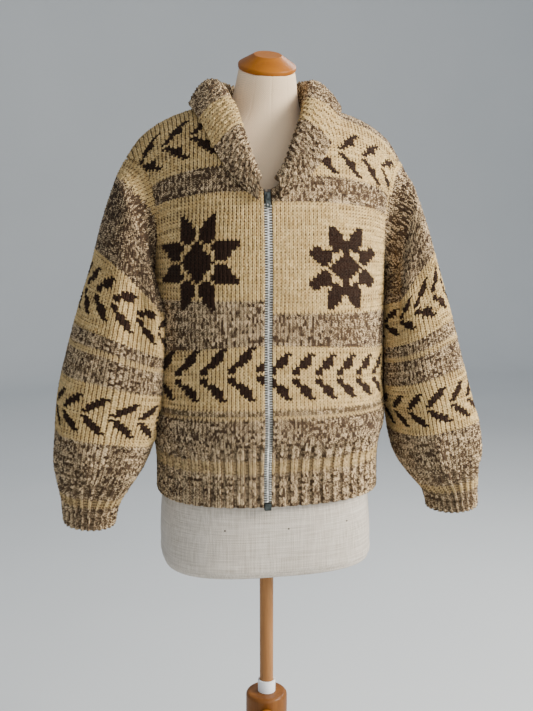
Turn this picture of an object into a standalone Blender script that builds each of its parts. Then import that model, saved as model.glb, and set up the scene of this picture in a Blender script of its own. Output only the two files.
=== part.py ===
"""Hand-knitted zip cardigan worn by a limbless dress form on a turned wooden stand.

Metres, +Z up. The form faces -Y and its pole stands on the Z axis, with the base on Z = 0.
Each piece of knitting is a wall of real thickness laid on one body surface: rings of superellipses
up to the underarm, and above it columns that curve over to the shoulder line.
"""
import math

import bmesh
import bpy
import numpy as np
from mathutils import Matrix

# ---------------------------------------------------------------- driving dimensions
WALL = 0.006               # thickness of the knitted cloth
SEAM_GAP = 0.00036         # space between pieces that are sewn or rest together
ARMHOLE_GAP = 0.0007       # space round the armhole, where the two edges meet at an angle
ARMHOLE_TURN = 0.0040      # length over which a sleeve leaves the armhole straight
STEP = 1e-4                # step for slopes of the cloth's surface

# Body of the cardigan
HEM_Z = 0.815
UNDERARM_Z = 1.150
YOKE = 0.27                # length of a column from the underarm to the shoulder line
ZIP_X = -0.0240            # the zip hangs to one side of the form's own centre line
ZIP_SHARE = 0.385          # share of the yoke that the zip closes
ZIP_EDGE = 0.0058          # from the zip's middle to the knitted edge of each front
SEAM_SHIFT = 0.008         # how far each side seam is drawn round with the zip
SHOULDER_Y = 0.005
TIP_INSET = 0.034          # columns lost between the side seam and the shoulder's tip
ARMHOLE_DEPTH = 0.068      # columns lost at the armhole's narrowest
ARMHOLE_CURVE = 0.30       # share of the yoke in which the armhole curves in
RISE = 1.35                # how long a column stays upright above the underarm
REACH = 2.7                # how far it lies forward before it meets the shoulder line
NECK_SHARE = 0.35          # the neck's share of the shoulder line
NECK_CURVE = 0.60
BACK_NECK_DROP = 0.22      # share of the yoke that the back of the neck is cut down

# height, half width, front, back, squareness
BODY_RINGS = (
    (0.815, 0.1800, 0.1360, 0.1280, 2.45),
    (0.845, 0.1795, 0.1355, 0.1275, 2.45),
    (0.880, 0.1805, 0.1362, 0.1285, 2.45),
    (0.905, 0.1850, 0.1405, 0.1325, 2.45),
    (0.935, 0.1885, 0.1435, 0.1345, 2.45),
    (1.000, 0.1865, 0.1405, 0.1320, 2.40),
    (1.070, 0.1850, 0.1400, 0.1310, 2.40),
    (1.150, 0.1850, 0.1430, 0.1310, 2.40),
)

# share of the shoulder, half width, height
SHOULDER_LINE = (
    (-0.20, -0.030, 1.418),
    (0.00, 0.000, 1.420),
    (0.35, 0.075, 1.418),
    (0.55, 0.120, 1.409),
    (0.78, 0.172, 1.386),
    (0.90, 0.197, 1.366),
    (1.00, 0.217, 1.338),
    (1.20, 0.246, 1.285),
)

# Sleeve: each ring's outermost and innermost point, seen from the front
# along, outer right, outer left, outer z, inner right, inner left, inner z, half depth, centre y,
# squareness, lift of the left sleeve
SLEEVE_RINGS = (
    (0.040, 0.2290, 0.2350, 1.304, 0.1850, 0.1780, 1.140, 0.080, -0.006, 2.2, 0.000),
    (0.100, 0.2460, 0.2550, 1.248, 0.1800, 0.1700, 1.115, 0.088, -0.012, 2.4, 0.000),
    (0.172, 0.2650, 0.2740, 1.180, 0.1780, 0.1660, 1.078, 0.091, -0.018, 2.5, 0.000),
    (0.245, 0.2870, 0.2970, 1.110, 0.1780, 0.1660, 1.034, 0.090, -0.022, 2.5, 0.000),
    (0.308, 0.3050, 0.3140, 1.050, 0.1820, 0.1680, 0.990, 0.087, -0.024, 2.5, 0.002),
    (0.385, 0.3270, 0.3310, 0.978, 0.2000, 0.1750, 0.936, 0.083, -0.026, 2.4, 0.004),
    (0.445, 0.3430, 0.3370, 0.920, 0.2080, 0.1910, 0.890, 0.079, -0.028, 2.4, 0.006),
    (0.493, 0.3480, 0.3400, 0.873, 0.2210, 0.2080, 0.852, 0.073, -0.030, 2.3, 0.008),
    (0.530, 0.3490, 0.3370, 0.838, 0.2400, 0.2280, 0.822, 0.062, -0.032, 2.2, 0.009),
    (0.559, 0.3500, 0.3315, 0.809, 0.2610, 0.2430, 0.798, 0.052, -0.034, 2.1, 0.009),
    (0.581, 0.3520, 0.3300, 0.787, 0.2680, 0.2480, 0.779, 0.048, -0.035, 2.0, 0.009),
    (0.597, 0.3520, 0.3285, 0.771, 0.2700, 0.2510, 0.765, 0.047, -0.036, 2.0, 0.009),
)
BODY_CLEAR = 0.0040        # space between the sleeve and the side of the body

# Largest folds of the sleeves: ridges (+) and troughs (-) that run down the tube
# side, angle, start, end, half angle, height
SLEEVE_FOLDS = (
    (-1, 128, 0.03, 0.30, 16, 0.0090),
    (-1, 98, 0.05, 0.29, 13, -0.0100),
    (-1, 248, 0.03, 0.27, 15, 0.0080),
    (-1, 60, 0.40, 0.57, 20, 0.0040),
    (-1, 118, 0.42, 0.57, 20, 0.0045),
    (-1, 215, 0.41, 0.57, 22, 0.0045),
    (1, 120, 0.02, 0.20, 15, 0.0070),
    (1, 84, 0.04, 0.24, 14, -0.0070),
    (1, 242, 0.03, 0.25, 15, 0.0080),
    (1, 48, 0.41, 0.57, 20, 0.0040),
    (1, 105, 0.40, 0.56, 20, 0.0045),
    (1, 225, 0.42, 0.57, 22, 0.0045),
)

# Shawl collar: seam and outer edge, as column share of the neck and level of the yoke
COLLAR_WALL = 0.0065
COLLAR_GAP = 0.0032        # space between the collar's foot and the neck edge
COLLAR_RIDE = 0.0032       # space between the collar's fall and the cloth under it
COLLAR_ROLL = 0.0052       # radius at which the collar folds over
# station, rise of the seam, edge outwards, edge drop, stand, lean, puff
COLLAR_STATIONS = (
    (0.00, 0.400, 0.001, 0.018, 0.001, 0.10, 0.000),
    (0.10, 0.470, 0.014, 0.021, 0.002, 0.10, 0.001),
    (0.30, 0.620, 0.033, 0.021, 0.004, 0.20, 0.001),
    (0.50, 0.820, 0.042, 0.012, 0.012, 0.50, 0.002),
    (0.60, 0.910, 0.041, 0.008, 0.019, 0.65, 0.002),
    (0.70, 1.000, 0.035, 0.002, 0.026, 0.80, 0.002),
    (0.85, 1.000, 0.022, 0.036, 0.034, 0.90, 0.002),
    (0.93, 1.000, 0.010, 0.046, 0.037, 0.90, 0.002),
    (1.00, 1.000, 0.000, 0.047, 0.038, 0.90, 0.002),
)

# Zip
CHAIN_WIDTH = 0.0090
CHAIN_THICK = 0.0042
CHAIN_BEHIND = 0.0008      # the chain's face lies this far behind the cloth's face
TAPE_WIDTH = 0.0150
TAPE_START = 0.0012
TAPE_THICK = 0.0010
SLIDER_SIZE = (0.0102, 0.0050, 0.0150)
SLIDER_Z = 1.2800
TAB_SIZE = (0.0072, 0.0014, 0.0180)
TAB_HOLE = 0.0017
TAB_EYE = (0.0038, 0.0070)         # width and height of the eye round the slider's bridge
BRIDGE_SIZE = (0.0026, 0.0046, 0.0080)
BRIDGE_BAR = 0.0012
BOX_SIZE = (0.0104, 0.0070, 0.0110)
BOX_DROP = 0.0040          # how far the box hangs below the hem
BOX_FORWARD = 0.0020       # how far it stands before the cloth's face
LEVEL_SPARE = 0.0040       # least height of the last row of a tape or of the chain

# Dress form
FORM_X = -0.003
# height, half width, front, back, centre y, squareness
FORM_RINGS = (
    (0.6930, 0.1560, 0.1090, 0.1070, 0.000, 2.7),
    (0.6955, 0.1640, 0.1160, 0.1140, 0.000, 2.8),
    (0.7030, 0.1700, 0.1215, 0.1190, 0.000, 2.8),
    (0.7250, 0.1720, 0.1240, 0.1215, 0.000, 2.7),
    (0.7700, 0.1715, 0.1245, 0.1210, 0.000, 2.5),
    (0.8050, 0.1690, 0.1240, 0.1180, 0.000, 2.4),
    (0.8600, 0.1640, 0.1200, 0.1140, 0.000, 2.3),
    (0.9400, 0.1480, 0.1090, 0.1020, 0.000, 2.2),
    (1.0200, 0.1300, 0.0990, 0.0930, 0.000, 2.2),
    (1.0900, 0.1330, 0.1030, 0.0980, 0.000, 2.2),
    (1.1600, 0.1460, 0.1170, 0.1050, 0.000, 2.2),
    (1.2200, 0.1520, 0.1190, 0.1080, 0.000, 2.2),
    (1.2700, 0.1530, 0.1090, 0.1060, 0.001, 2.2),
    (1.3100, 0.1500, 0.0960, 0.0960, 0.004, 2.2),
    (1.3400, 0.1380, 0.0830, 0.0850, 0.006, 2.1),
    (1.3650, 0.1120, 0.0700, 0.0640, 0.008, 2.0),
    (1.3850, 0.0800, 0.0600, 0.0480, 0.006, 2.0),
    (1.4050, 0.0600, 0.0540, 0.0460, 0.003, 2.0),
    (1.4250, 0.0520, 0.0500, 0.0480, -0.002, 2.0),
    (1.4450, 0.0480, 0.0475, 0.0465, -0.009, 2.0),
)
NECK_TILT = math.radians(23)
NECK_TOP = (FORM_X, -0.0180, 1.4730)
NECK_RADIUS = 0.0428

# Cap, pole and stand
CAP_PROFILE = ((0.0436, 0.0003), (0.0444, 0.0015), (0.0444, 0.0062),
               (0.0432, 0.0075), (0.0238, 0.0200), (0.0214, 0.0216))
POLE_RADIUS = 0.0115
POLE_BOTTOM_Z = 0.2300
POLE_IN_FORM = 0.0600
FIT = 0.0004
TAPE_WRAP = (0.0030, 0.0220)       # thickness, height
HUB_TOP_Z = 0.4435
HUB_RADIUS = 0.0352
HUB_BORE_BOTTOM_Z = 0.2000
HUB_PROFILE = ((0.0700, 0.0353), (0.0740, 0.0390), (0.0740, 0.0480),
               (0.0700, 0.0520), (0.0430, 0.0560), (0.0352, 0.0680), (0.0352, 0.4385),
               (0.0300, 0.4435))
BASE_PROFILE = ((0.1960, 0.0000), (0.2000, 0.0040), (0.2000, 0.0240),
                (0.1900, 0.0330), (0.1780, 0.0350))
KNOB_Z = 0.4150
KNOB_TURN = math.radians(-11)      # the knob points a little to one side of the form's front
KNOB_PROFILE = ((0.0120, 0.0000), (0.0150, 0.0030), (0.0165, 0.0110),
                (0.0150, 0.0210), (0.0100, 0.0250), (0.0040, 0.0262))
SCREW_RADIUS = 0.0040
SCREW_GAP = 0.0010                 # from the screw's tip to the pole

# Colours (linear), roughness and metalness
FINISHES = {
    "wool_cream": ((0.54, 0.40, 0.23), 0.92, 0.0),
    "wool_marl": ((0.26, 0.18, 0.11), 0.92, 0.0),
    "linen": ((0.52, 0.45, 0.36), 0.85, 0.0),
    "honey_wood": ((0.45, 0.20, 0.06), 0.40, 0.0),
    "pole_wood": ((0.36, 0.17, 0.07), 0.50, 0.0),
    "white_tape": ((0.75, 0.75, 0.72), 0.60, 0.0),
    "zip_metal": ((0.55, 0.56, 0.57), 0.35, 1.0),
    "slider_metal": ((0.16, 0.18, 0.20), 0.40, 1.0),
    "zip_tape": ((0.10, 0.10, 0.10), 0.90, 0.0),
}


# ---------------------------------------------------------------- curves and rings
def hermite(start, end, start_slope, end_slope, share):
    """Cubic from start to end with the given slopes."""
    s2, s3 = share ** 2, share ** 3
    return ((2 * s3 - 3 * s2 + 1) * start + (s3 - 2 * s2 + share) * start_slope
            + (3 * s2 - 2 * s3) * end + (s3 - s2) * end_slope)


def smooth_row(rows, value):
    """The columns after the first of a table, at any value of its first column."""
    table = np.array(rows)
    keys, columns = table[:, 0], table[:, 1:]
    slopes = np.gradient(columns, keys, axis=0)
    value = min(max(value, keys[0]), keys[-1])
    row = int(np.clip(np.searchsorted(keys, value) - 1, 0, len(keys) - 2))
    span = keys[row + 1] - keys[row]
    share = (value - keys[row]) / span
    return hermite(columns[row], columns[row + 1], slopes[row] * span, slopes[row + 1] * span, share)


def superellipse(angle, half_width, front, back, squareness):
    """Points of a ring whose angle runs from the front (-Y) towards +X."""
    sine, cosine = np.sin(angle), np.cos(angle)
    power = 2.0 / squareness
    depth = np.where(cosine > 0, front, back)
    return np.stack((half_width * np.sign(sine) * np.abs(sine) ** power,
                     -depth * np.sign(cosine) * np.abs(cosine) ** power), axis=-1)


def unit(vector):
    return vector / np.linalg.norm(vector, axis=-1, keepdims=True)


# ---------------------------------------------------------------- body surface of the cardigan
RING_ANGLES = np.linspace(-math.pi, math.pi, 481)
RING_CACHE = {}


def body_ring(height):
    """Outline of the body at one height, its arc length, and the arcs of the zip and side seams."""
    key = round(height, 6)
    if key not in RING_CACHE:
        outline = superellipse(RING_ANGLES, *smooth_row(BODY_RINGS, height))
        steps = np.linalg.norm(np.diff(outline, axis=0), axis=1)
        arc = np.concatenate(((0.0,), np.cumsum(steps)))
        front = np.abs(RING_ANGLES) <= math.pi / 2
        zip_arc = np.interp(ZIP_X, outline[front, 0], arc[front])
        left, right = np.interp((-math.pi / 2, math.pi / 2), RING_ANGLES, arc) - SEAM_SHIFT
        RING_CACHE[key] = (outline, arc, zip_arc, left, right)
    return RING_CACHE[key]


def panel_span(panel, height):
    """Arc lengths at which a panel's columns start and end."""
    _, arc, zip_arc, left, right = body_ring(height)
    if panel == "front_left":
        return zip_arc - ZIP_EDGE, left
    if panel == "front_right":
        return zip_arc + ZIP_EDGE, right
    middle = (right + arc[-1] + left) / 2
    return middle, (right if panel == "back_right" else left + arc[-1])


def panel_width(panel):
    start, end = panel_span(panel, UNDERARM_Z)
    return abs(end - start)


def ring_point(panel, column, height):
    """Point of a panel below the underarm; column runs from 0 at its middle edge to 1 at the side."""
    outline, arc, *_ = body_ring(height)
    start, end = panel_span(panel, height)
    place = (start + (end - start) * column) % arc[-1]
    return np.array((np.interp(place, arc, outline[:, 0]), np.interp(place, arc, outline[:, 1]), height))


def tip_column(panel):
    return 1.0 - TIP_INSET / panel_width(panel)


def shoulder_point(panel, column):
    """Point of the shoulder line where a column ends."""
    side = 1.0 if panel.endswith("right") else -1.0
    share = column / tip_column(panel)
    half_width, height = smooth_row(SHOULDER_LINE, share)
    pull = ZIP_X * max(1.0 - share, 0.0) ** 3.5
    edge = side * ZIP_EDGE * max(1.0 - share, 0.0)
    return np.array((side * half_width + edge + pull, SHOULDER_Y, height))


def cloth_point(panel, column, level):
    """Outer face of the cloth; level is a height up to the underarm, and beyond it the yoke's length."""
    if level <= UNDERARM_Z:
        return ring_point(panel, column, level)
    base = ring_point(panel, column, UNDERARM_Z)
    top = shoulder_point(panel, column)
    up = np.array((0.0, 0.0, RISE * (top[2] - base[2])))
    over = np.array((0.0, REACH * (top[1] - base[1]), 0.0))
    return hermite(base, top, up, over, (level - UNDERARM_Z) / YOKE)


def cloth_normal(panel, column, level):
    """Outward unit normal of the cloth."""
    step_level = STEP if level < UNDERARM_Z + YOKE - STEP else -STEP
    here = cloth_point(panel, column, level)
    across = cloth_point(panel, column + STEP, level) - here
    along = (cloth_point(panel, column, level + step_level) - here) / step_level
    normal = unit(np.cross(across, along))
    outward = here - np.array((0.0, 0.0, 1.1))
    return normal if normal @ outward > 0 else -normal


def armhole_column(panel, level):
    """The column at which the armhole cuts a panel."""
    rise = max(level - UNDERARM_Z, 0.0) / YOKE
    if rise < ARMHOLE_CURVE:
        lost = ARMHOLE_DEPTH * math.sqrt(1.0 - (1.0 - rise / ARMHOLE_CURVE) ** 2)
    else:
        back_out = (rise - ARMHOLE_CURVE) / (1.0 - ARMHOLE_CURVE)
        ease = (1.0 - math.cos(math.pi * back_out)) / 2
        lost = ARMHOLE_DEPTH + (TIP_INSET - ARMHOLE_DEPTH) * ease
    return 1.0 - lost / panel_width(panel)


def neck_column(panel, level):
    """The column at which the neck cuts a front above the top of the zip."""
    share = ((level - UNDERARM_Z) / YOKE - ZIP_SHARE) / (1.0 - ZIP_SHARE)
    return NECK_SHARE * tip_column(panel) * max(share, 0.0) ** NECK_CURVE


# ---------------------------------------------------------------- meshes and objects
def make_material(name):
    colour, roughness, metallic = FINISHES[name]
    material = bpy.data.materials.new(name)
    material.use_nodes = True
    shader = material.node_tree.nodes["Principled BSDF"]
    shader.inputs["Base Color"].default_value = (*colour, 1.0)
    shader.inputs["Roughness"].default_value = roughness
    shader.inputs["Metallic"].default_value = metallic
    material.diffuse_color = (*colour, 1.0)
    return material


def add_object(name, bm, finish, smooth=True):
    bmesh.ops.remove_doubles(bm, verts=bm.verts, dist=1e-6)
    bmesh.ops.recalc_face_normals(bm, faces=bm.faces)
    if bm.calc_volume(signed=True) < 0:
        bmesh.ops.reverse_faces(bm, faces=bm.faces)
    mesh = bpy.data.meshes.new(name)
    bm.to_mesh(mesh)
    bm.free()
    if smooth:
        mesh.shade_smooth()
        mesh.set_sharp_from_angle(angle=math.radians(35))
    mesh.materials.append(make_material(finish))
    obj = bpy.data.objects.new(name, mesh)
    bpy.context.scene.collection.objects.link(obj)
    return obj


def wall_between(outer, inner, closed):
    """Closed wall between two equal grids of points; closed joins the last column to the first."""
    rows, columns = outer.shape[:2]
    bm = bmesh.new()
    faces = [[[bm.verts.new(point) for point in row] for row in grid] for grid in (outer, inner)]
    spans = columns if closed else columns - 1
    for grid in faces:
        for row in range(rows - 1):
            for column in range(spans):
                after = (column + 1) % columns
                bm.faces.new((grid[row][column], grid[row][after],
                              grid[row + 1][after], grid[row + 1][column]))
    rims = [(faces[0][row], faces[1][row], spans) for row in (0, rows - 1)]
    if not closed:
        rims += [([row[edge] for row in faces[0]], [row[edge] for row in faces[1]], rows - 1)
                 for edge in (0, columns - 1)]
    for first, second, count in rims:
        for place in range(count):
            after = (place + 1) % len(first)
            bm.faces.new((first[place], first[after], second[after], second[place]))
    return bm


def turned(profile, segments):
    """Body of revolution about Z from (radius, height) pairs, closed by a flat face at each end."""
    bm = bmesh.new()
    angles = [math.tau * place / segments for place in range(segments)]
    rings = [[bm.verts.new((radius * math.cos(a), radius * math.sin(a), height)) for a in angles]
             for radius, height in profile]
    for lower, upper in zip(rings, rings[1:]):
        for place in range(segments):
            after = (place + 1) % segments
            bm.faces.new((lower[place], lower[after], upper[after], upper[place]))
    bm.faces.new(rings[0])
    bm.faces.new(rings[-1])
    return bm


def cut(target, cutter):
    """Takes the cutter's shape out of the target."""
    cutter.hide_render = True
    cutter.display_type = "WIRE"
    modifier = target.modifiers.new("cut_" + cutter.name, "BOOLEAN")
    modifier.operation = "DIFFERENCE"
    modifier.solver = "EXACT"
    modifier.object = cutter


# ---------------------------------------------------------------- knitted pieces
BODY_LEVELS = np.array((0.815, 0.845, 0.875, 0.900, 0.925, 0.960, 1.010, 1.080, 1.150))
YOKE_SHARES = np.array((0.015, 0.05, 0.11, 0.19, 0.29, ZIP_SHARE, 0.41, 0.45, 0.51, 0.59, 0.68, 0.77,
                        0.86, 0.94, 1.0))
YOKE_LEVELS = UNDERARM_Z + YOKE * YOKE_SHARES
FRONT_COLUMNS = 10
BACK_COLUMNS = 10


def trim_level(level):
    """Keeps half a seam's gap below the shoulder line."""
    return min(level, UNDERARM_Z + YOKE - SEAM_GAP / 2)


def cloth_grid(places):
    """Outer and inner face of a panel from rows of (panel, column, level)."""
    outer = np.array([[cloth_point(*place) for place in row] for row in places])
    normals = np.array([[cloth_normal(*place) for place in row] for row in places])
    return outer, outer - WALL * normals


def make_front(name, panel):
    seam = SEAM_GAP / 2 / panel_width(panel)
    places = []
    for level in (trim_level(level) for level in (*BODY_LEVELS, *YOKE_LEVELS)):
        first = neck_column(panel, level)
        last = armhole_column(panel, level) - seam
        columns = np.linspace(first, last, FRONT_COLUMNS)
        places.append([(panel, column, level) for column in columns])
    return add_object(name, wall_between(*cloth_grid(places), closed=False), "wool_cream")


def back_neck_level(panel, column, level):
    """Lowers the top of the back between the neck points."""
    neck = NECK_SHARE * tip_column(panel)
    if column >= neck or level <= UNDERARM_Z:
        return level
    drop = BACK_NECK_DROP * math.sqrt(1.0 - (column / neck) ** 2)
    return UNDERARM_Z + (level - UNDERARM_Z) * (1.0 - drop)


def make_back(name):
    places = []
    for level in (trim_level(level) for level in (*BODY_LEVELS, *YOKE_LEVELS)):
        row = []
        for panel in ("back_left", "back_right"):
            last = armhole_column(panel, level) - SEAM_GAP / 2 / panel_width(panel)
            half = [(panel, column, back_neck_level(panel, column, level))
                    for column in np.linspace(0.0, last, BACK_COLUMNS)]
            row += half[::-1] if panel == "back_left" else half[1:]
        places.append(row)
    return add_object(name, wall_between(*cloth_grid(places), closed=False), "wool_cream")


def armhole_loop(side):
    """Points, normals and outward edge directions round an armhole, from the tip down the front."""
    hand = "right" if side > 0 else "left"
    levels = np.concatenate(((UNDERARM_Z,), YOKE_LEVELS))
    levels[-1] = trim_level(levels[-1])
    places = [("front_" + hand, level) for level in levels[::-1]]
    places += [("back_" + hand, level) for level in levels[1:-1]]
    points = np.array([cloth_point(panel, armhole_column(panel, level), level) for panel, level in places])
    normals = np.array([cloth_normal(panel, armhole_column(panel, level), level)
                        for panel, level in places])
    tangents = np.roll(points, -1, axis=0) - np.roll(points, 1, axis=0)
    return points, normals, unit(side * np.cross(normals, tangents))


def loop_angles(points):
    """Angle round the sleeve of each armhole point: 0 at the tip, pi at the underarm."""
    lengths = np.linalg.norm(np.roll(points, -1, axis=0) - points, axis=1)
    lowest = len(YOKE_LEVELS)
    arc = np.concatenate(((0.0,), np.cumsum(lengths)))
    front = math.pi * arc[:lowest + 1] / arc[lowest]
    back = math.pi + math.pi * (arc[lowest + 1:-1] - arc[lowest]) / (arc[-1] - arc[lowest])
    return np.concatenate((front, back))


def body_side(y, z):
    """Half width of the body's outer face at a depth y."""
    half_width, front, back, squareness = smooth_row(BODY_RINGS, z)
    share = min(abs(y) / (front if y < 0 else back), 1.0)
    return half_width * (1.0 - share ** squareness) ** (1.0 / squareness)


def fold_height(side, angle, along):
    """How far the folds lift the sleeve's surface."""
    total = 0.0
    for fold_side, centre, start, end, half_angle, height in SLEEVE_FOLDS:
        if fold_side == side and start < along < end:
            across = (math.degrees(angle) - centre) / half_angle
            total += height * math.exp(-across ** 2) * math.sin(math.pi * (along - start) / (end - start))
    return total


def sleeve_point(side, angle, along):
    """Outer face of a sleeve below the armhole."""
    (outer_right, outer_left, outer_z, inner_right, inner_left, inner_z,
     half_depth, centre_y, squareness, left_lift) = smooth_row(SLEEVE_RINGS, along)
    outer = np.array((outer_right, outer_z) if side > 0 else (outer_left, outer_z + left_lift))
    inner = np.array((inner_right, inner_z) if side > 0 else (inner_left, inner_z + left_lift))
    lift = fold_height(side, angle, along)
    radius = np.linalg.norm(outer - inner) / 2 + lift
    across, forward = superellipse(math.pi / 2 - angle, radius, half_depth + lift, half_depth + lift,
                                   squareness)
    middle = (outer + inner) / 2
    x, z = middle + unit(outer - inner) * across
    y = centre_y + forward
    x = max(x, body_side(y, z) + BODY_CLEAR)
    return np.array((side * x, y, z))


def make_sleeve(name, side):
    points, edge_normals, outward = armhole_loop(side)
    angles = loop_angles(points)
    outer = [points + outward * ARMHOLE_GAP, points + outward * ARMHOLE_TURN]
    outer += [np.array([sleeve_point(side, angle, row[0]) for angle in angles]) for row in SLEEVE_RINGS]
    outer = np.array(outer)
    around = np.roll(outer, -1, axis=1) - np.roll(outer, 1, axis=1)
    normals = unit(side * np.cross(around, np.gradient(outer, axis=0)))
    normals[0] = edge_normals
    normals[1] = unit(edge_normals + normals[2])
    bm = wall_between(outer, outer - WALL * normals, closed=True)
    return add_object(name, bm, "wool_cream")


def collar_section(panel, row):
    """Middle line of the collar at one station, from the neck seam over the roll to its outer edge."""
    station, seam_rise, edge_out, edge_drop, stand, lean, puff = row
    level = UNDERARM_Z + YOKE * seam_rise
    width = panel_width(panel)
    if panel.startswith("front"):
        column = neck_column(panel, level)
        seam_level = level
    else:
        neck = NECK_SHARE * tip_column(panel)
        share = (station - 1.0) / (0.70 - 1.0)
        column = neck * math.sin(math.pi / 2 * min(share, 1.0))
        seam_level = back_neck_level(panel, column, UNDERARM_Z + YOKE)
    seam_level = trim_level(seam_level)
    seam = cloth_point(panel, column, seam_level)
    normal = cloth_normal(panel, column, seam_level)
    edge_place = (panel, column + edge_out / width, trim_level(seam_level - edge_drop))
    edge_normal = cloth_normal(*edge_place)
    half = COLLAR_WALL / 2
    edge = cloth_point(*edge_place) + edge_normal * (half + COLLAR_RIDE)
    up = unit(normal * (1 - lean) + np.array((0.0, 0.0, lean)))
    out = edge - seam
    out = unit(out - up * (out @ up))
    foot = seam - normal * WALL / 2 - out * (half + COLLAR_GAP)
    top = foot + up * (stand + WALL / 2 + half + COLLAR_RIDE)
    path = [foot, top]
    for turn in (math.pi / 4, math.pi / 2):
        path.append(top + out * COLLAR_ROLL * (1 - math.cos(turn)) + up * COLLAR_ROLL * math.sin(turn))
    lift = path[-1] - (seam + normal * (half + COLLAR_RIDE))
    for share in (0.2, 0.4, 0.6, 0.8, 1.0):
        place = (panel, column + edge_out / width * share, trim_level(seam_level - edge_drop * share))
        under = cloth_point(*place) + cloth_normal(*place) * (half + COLLAR_RIDE)
        puffed = puff * math.sin(math.pi * share) * cloth_normal(*place)
        path.append(under + lift * (1 - share ** 2) + puffed)
    return path


def make_collar(name):
    stations = np.concatenate((np.linspace(0, 0.7, 11), np.linspace(0.7, 1.0, 6)[1:]))
    middle = []
    for side, hand in ((-1, "left"), (1, "right")):
        half = []
        for station in stations:
            panel = ("front_" if station <= 0.7 else "back_") + hand
            row = (station, *smooth_row(COLLAR_STATIONS, station))
            half.append(collar_section(panel, row))
        middle += half if side < 0 else half[::-1][1:]
    middle = np.array(middle)
    normals = unit(np.cross(np.gradient(middle, axis=0), np.gradient(middle, axis=1)))
    offset = normals * COLLAR_WALL / 2
    return add_object(name, wall_between(middle + offset, middle - offset, closed=False), "wool_marl")


# ---------------------------------------------------------------- zip
def zip_line(level):
    """Middle of the zip on the cloth's outer face."""
    left = cloth_point("front_left", 0.0, level)
    right = cloth_point("front_right", 0.0, level)
    return (left + right) / 2


def zip_strip(name, finish, levels, near, far, start, end):
    """Straight-sided strip along the zip, between two distances from its middle and two depths."""
    front, back = [], []
    for level in levels:
        middle = zip_line(level)
        for grid, depth in ((front, start), (back, end)):
            grid.append([middle + np.array((near, depth, 0)), middle + np.array((far, depth, 0))])
    return add_object(name, wall_between(np.array(front), np.array(back), closed=False), finish,
                      smooth=False)


def rounded_block(size, bevel):
    """Box of the given size about the origin with rounded edges."""
    bm = bmesh.new()
    bmesh.ops.create_cube(bm, size=1.0)
    bmesh.ops.scale(bm, vec=size, verts=bm.verts)
    bmesh.ops.bevel(bm, geom=bm.edges[:], offset=bevel, segments=2, affect="EDGES", profile=0.5)
    return bm


def make_tape(name, panel, levels):
    """Tape sewn to the back of a front, from the zip's middle outwards."""
    width = panel_width(panel)
    columns = (np.linspace(TAPE_START, TAPE_WIDTH, 4) - ZIP_EDGE) / width
    places = [[(panel, column, level) for column in columns] for level in levels]
    face = np.array([[cloth_point(*place) for place in row] for row in places])
    normals = np.array([[cloth_normal(*place) for place in row] for row in places])
    front = face - normals * (WALL + SEAM_GAP)
    add_object(name, wall_between(front, front - normals * TAPE_THICK, closed=False), "zip_tape")


def block(size, centre):
    bm = bmesh.new()
    bmesh.ops.create_cube(bm, size=1.0)
    bmesh.ops.scale(bm, vec=size, verts=bm.verts)
    bmesh.ops.translate(bm, vec=centre, verts=bm.verts)
    return bm


def make_slider():
    """Slider body with the arched bridge that holds the pull tab."""
    slider = add_object("zip_slider", rounded_block(SLIDER_SIZE, 0.0012), "slider_metal")
    width, depth, height = BRIDGE_SIZE
    bridge = add_object("bridge_guide", block((width, depth, height), (0, -SLIDER_SIZE[1] / 2 - depth / 2
                                              + BRIDGE_BAR, 0)), "slider_metal", smooth=False)
    opening = (width * 2, depth - 2 * BRIDGE_BAR, height - 2 * BRIDGE_BAR)
    cut(bridge, add_object("bridge_cutter", block(opening, (0, -SLIDER_SIZE[1] / 2 - opening[1] / 2, 0)),
                           "slider_metal", smooth=False))
    bridge.hide_render = True
    bridge.display_type = "WIRE"
    joined = slider.modifiers.new("bridge", "BOOLEAN")
    joined.operation = "UNION"
    joined.solver = "EXACT"
    joined.object = bridge
    for guide in (bridge, bpy.data.objects["bridge_cutter"]):
        guide.parent = slider
    return slider


def make_pull_tab():
    """Flat tab with an eye round the bridge and a round hole near its end; it turns about X."""
    bar = TAB_SIZE[1] / 2
    tab = rounded_block(TAB_SIZE, 0.0005)
    bmesh.ops.translate(tab, vec=(0, 0, bar - TAB_SIZE[2] / 2), verts=tab.verts)
    pull = add_object("zip_pull_tab", tab, "slider_metal")
    eye = block((TAB_EYE[0], 0.02, TAB_EYE[1]), (0, 0, -bar - TAB_EYE[1] / 2))
    hole = turned(((TAB_HOLE, -0.01), (TAB_HOLE, 0.01)), 16)
    hole.transform(Matrix.Rotation(math.pi / 2, 4, "X"))
    hole.transform(Matrix.Translation((0, 0, bar - TAB_SIZE[2] + 2.2 * TAB_HOLE)))
    for name, shape in (("eye_cutter", eye), ("tab_hole_cutter", hole)):
        cutter = add_object(name, shape, "slider_metal", smooth=False)
        cutter.parent = pull
        cut(pull, cutter)
    return pull


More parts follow.
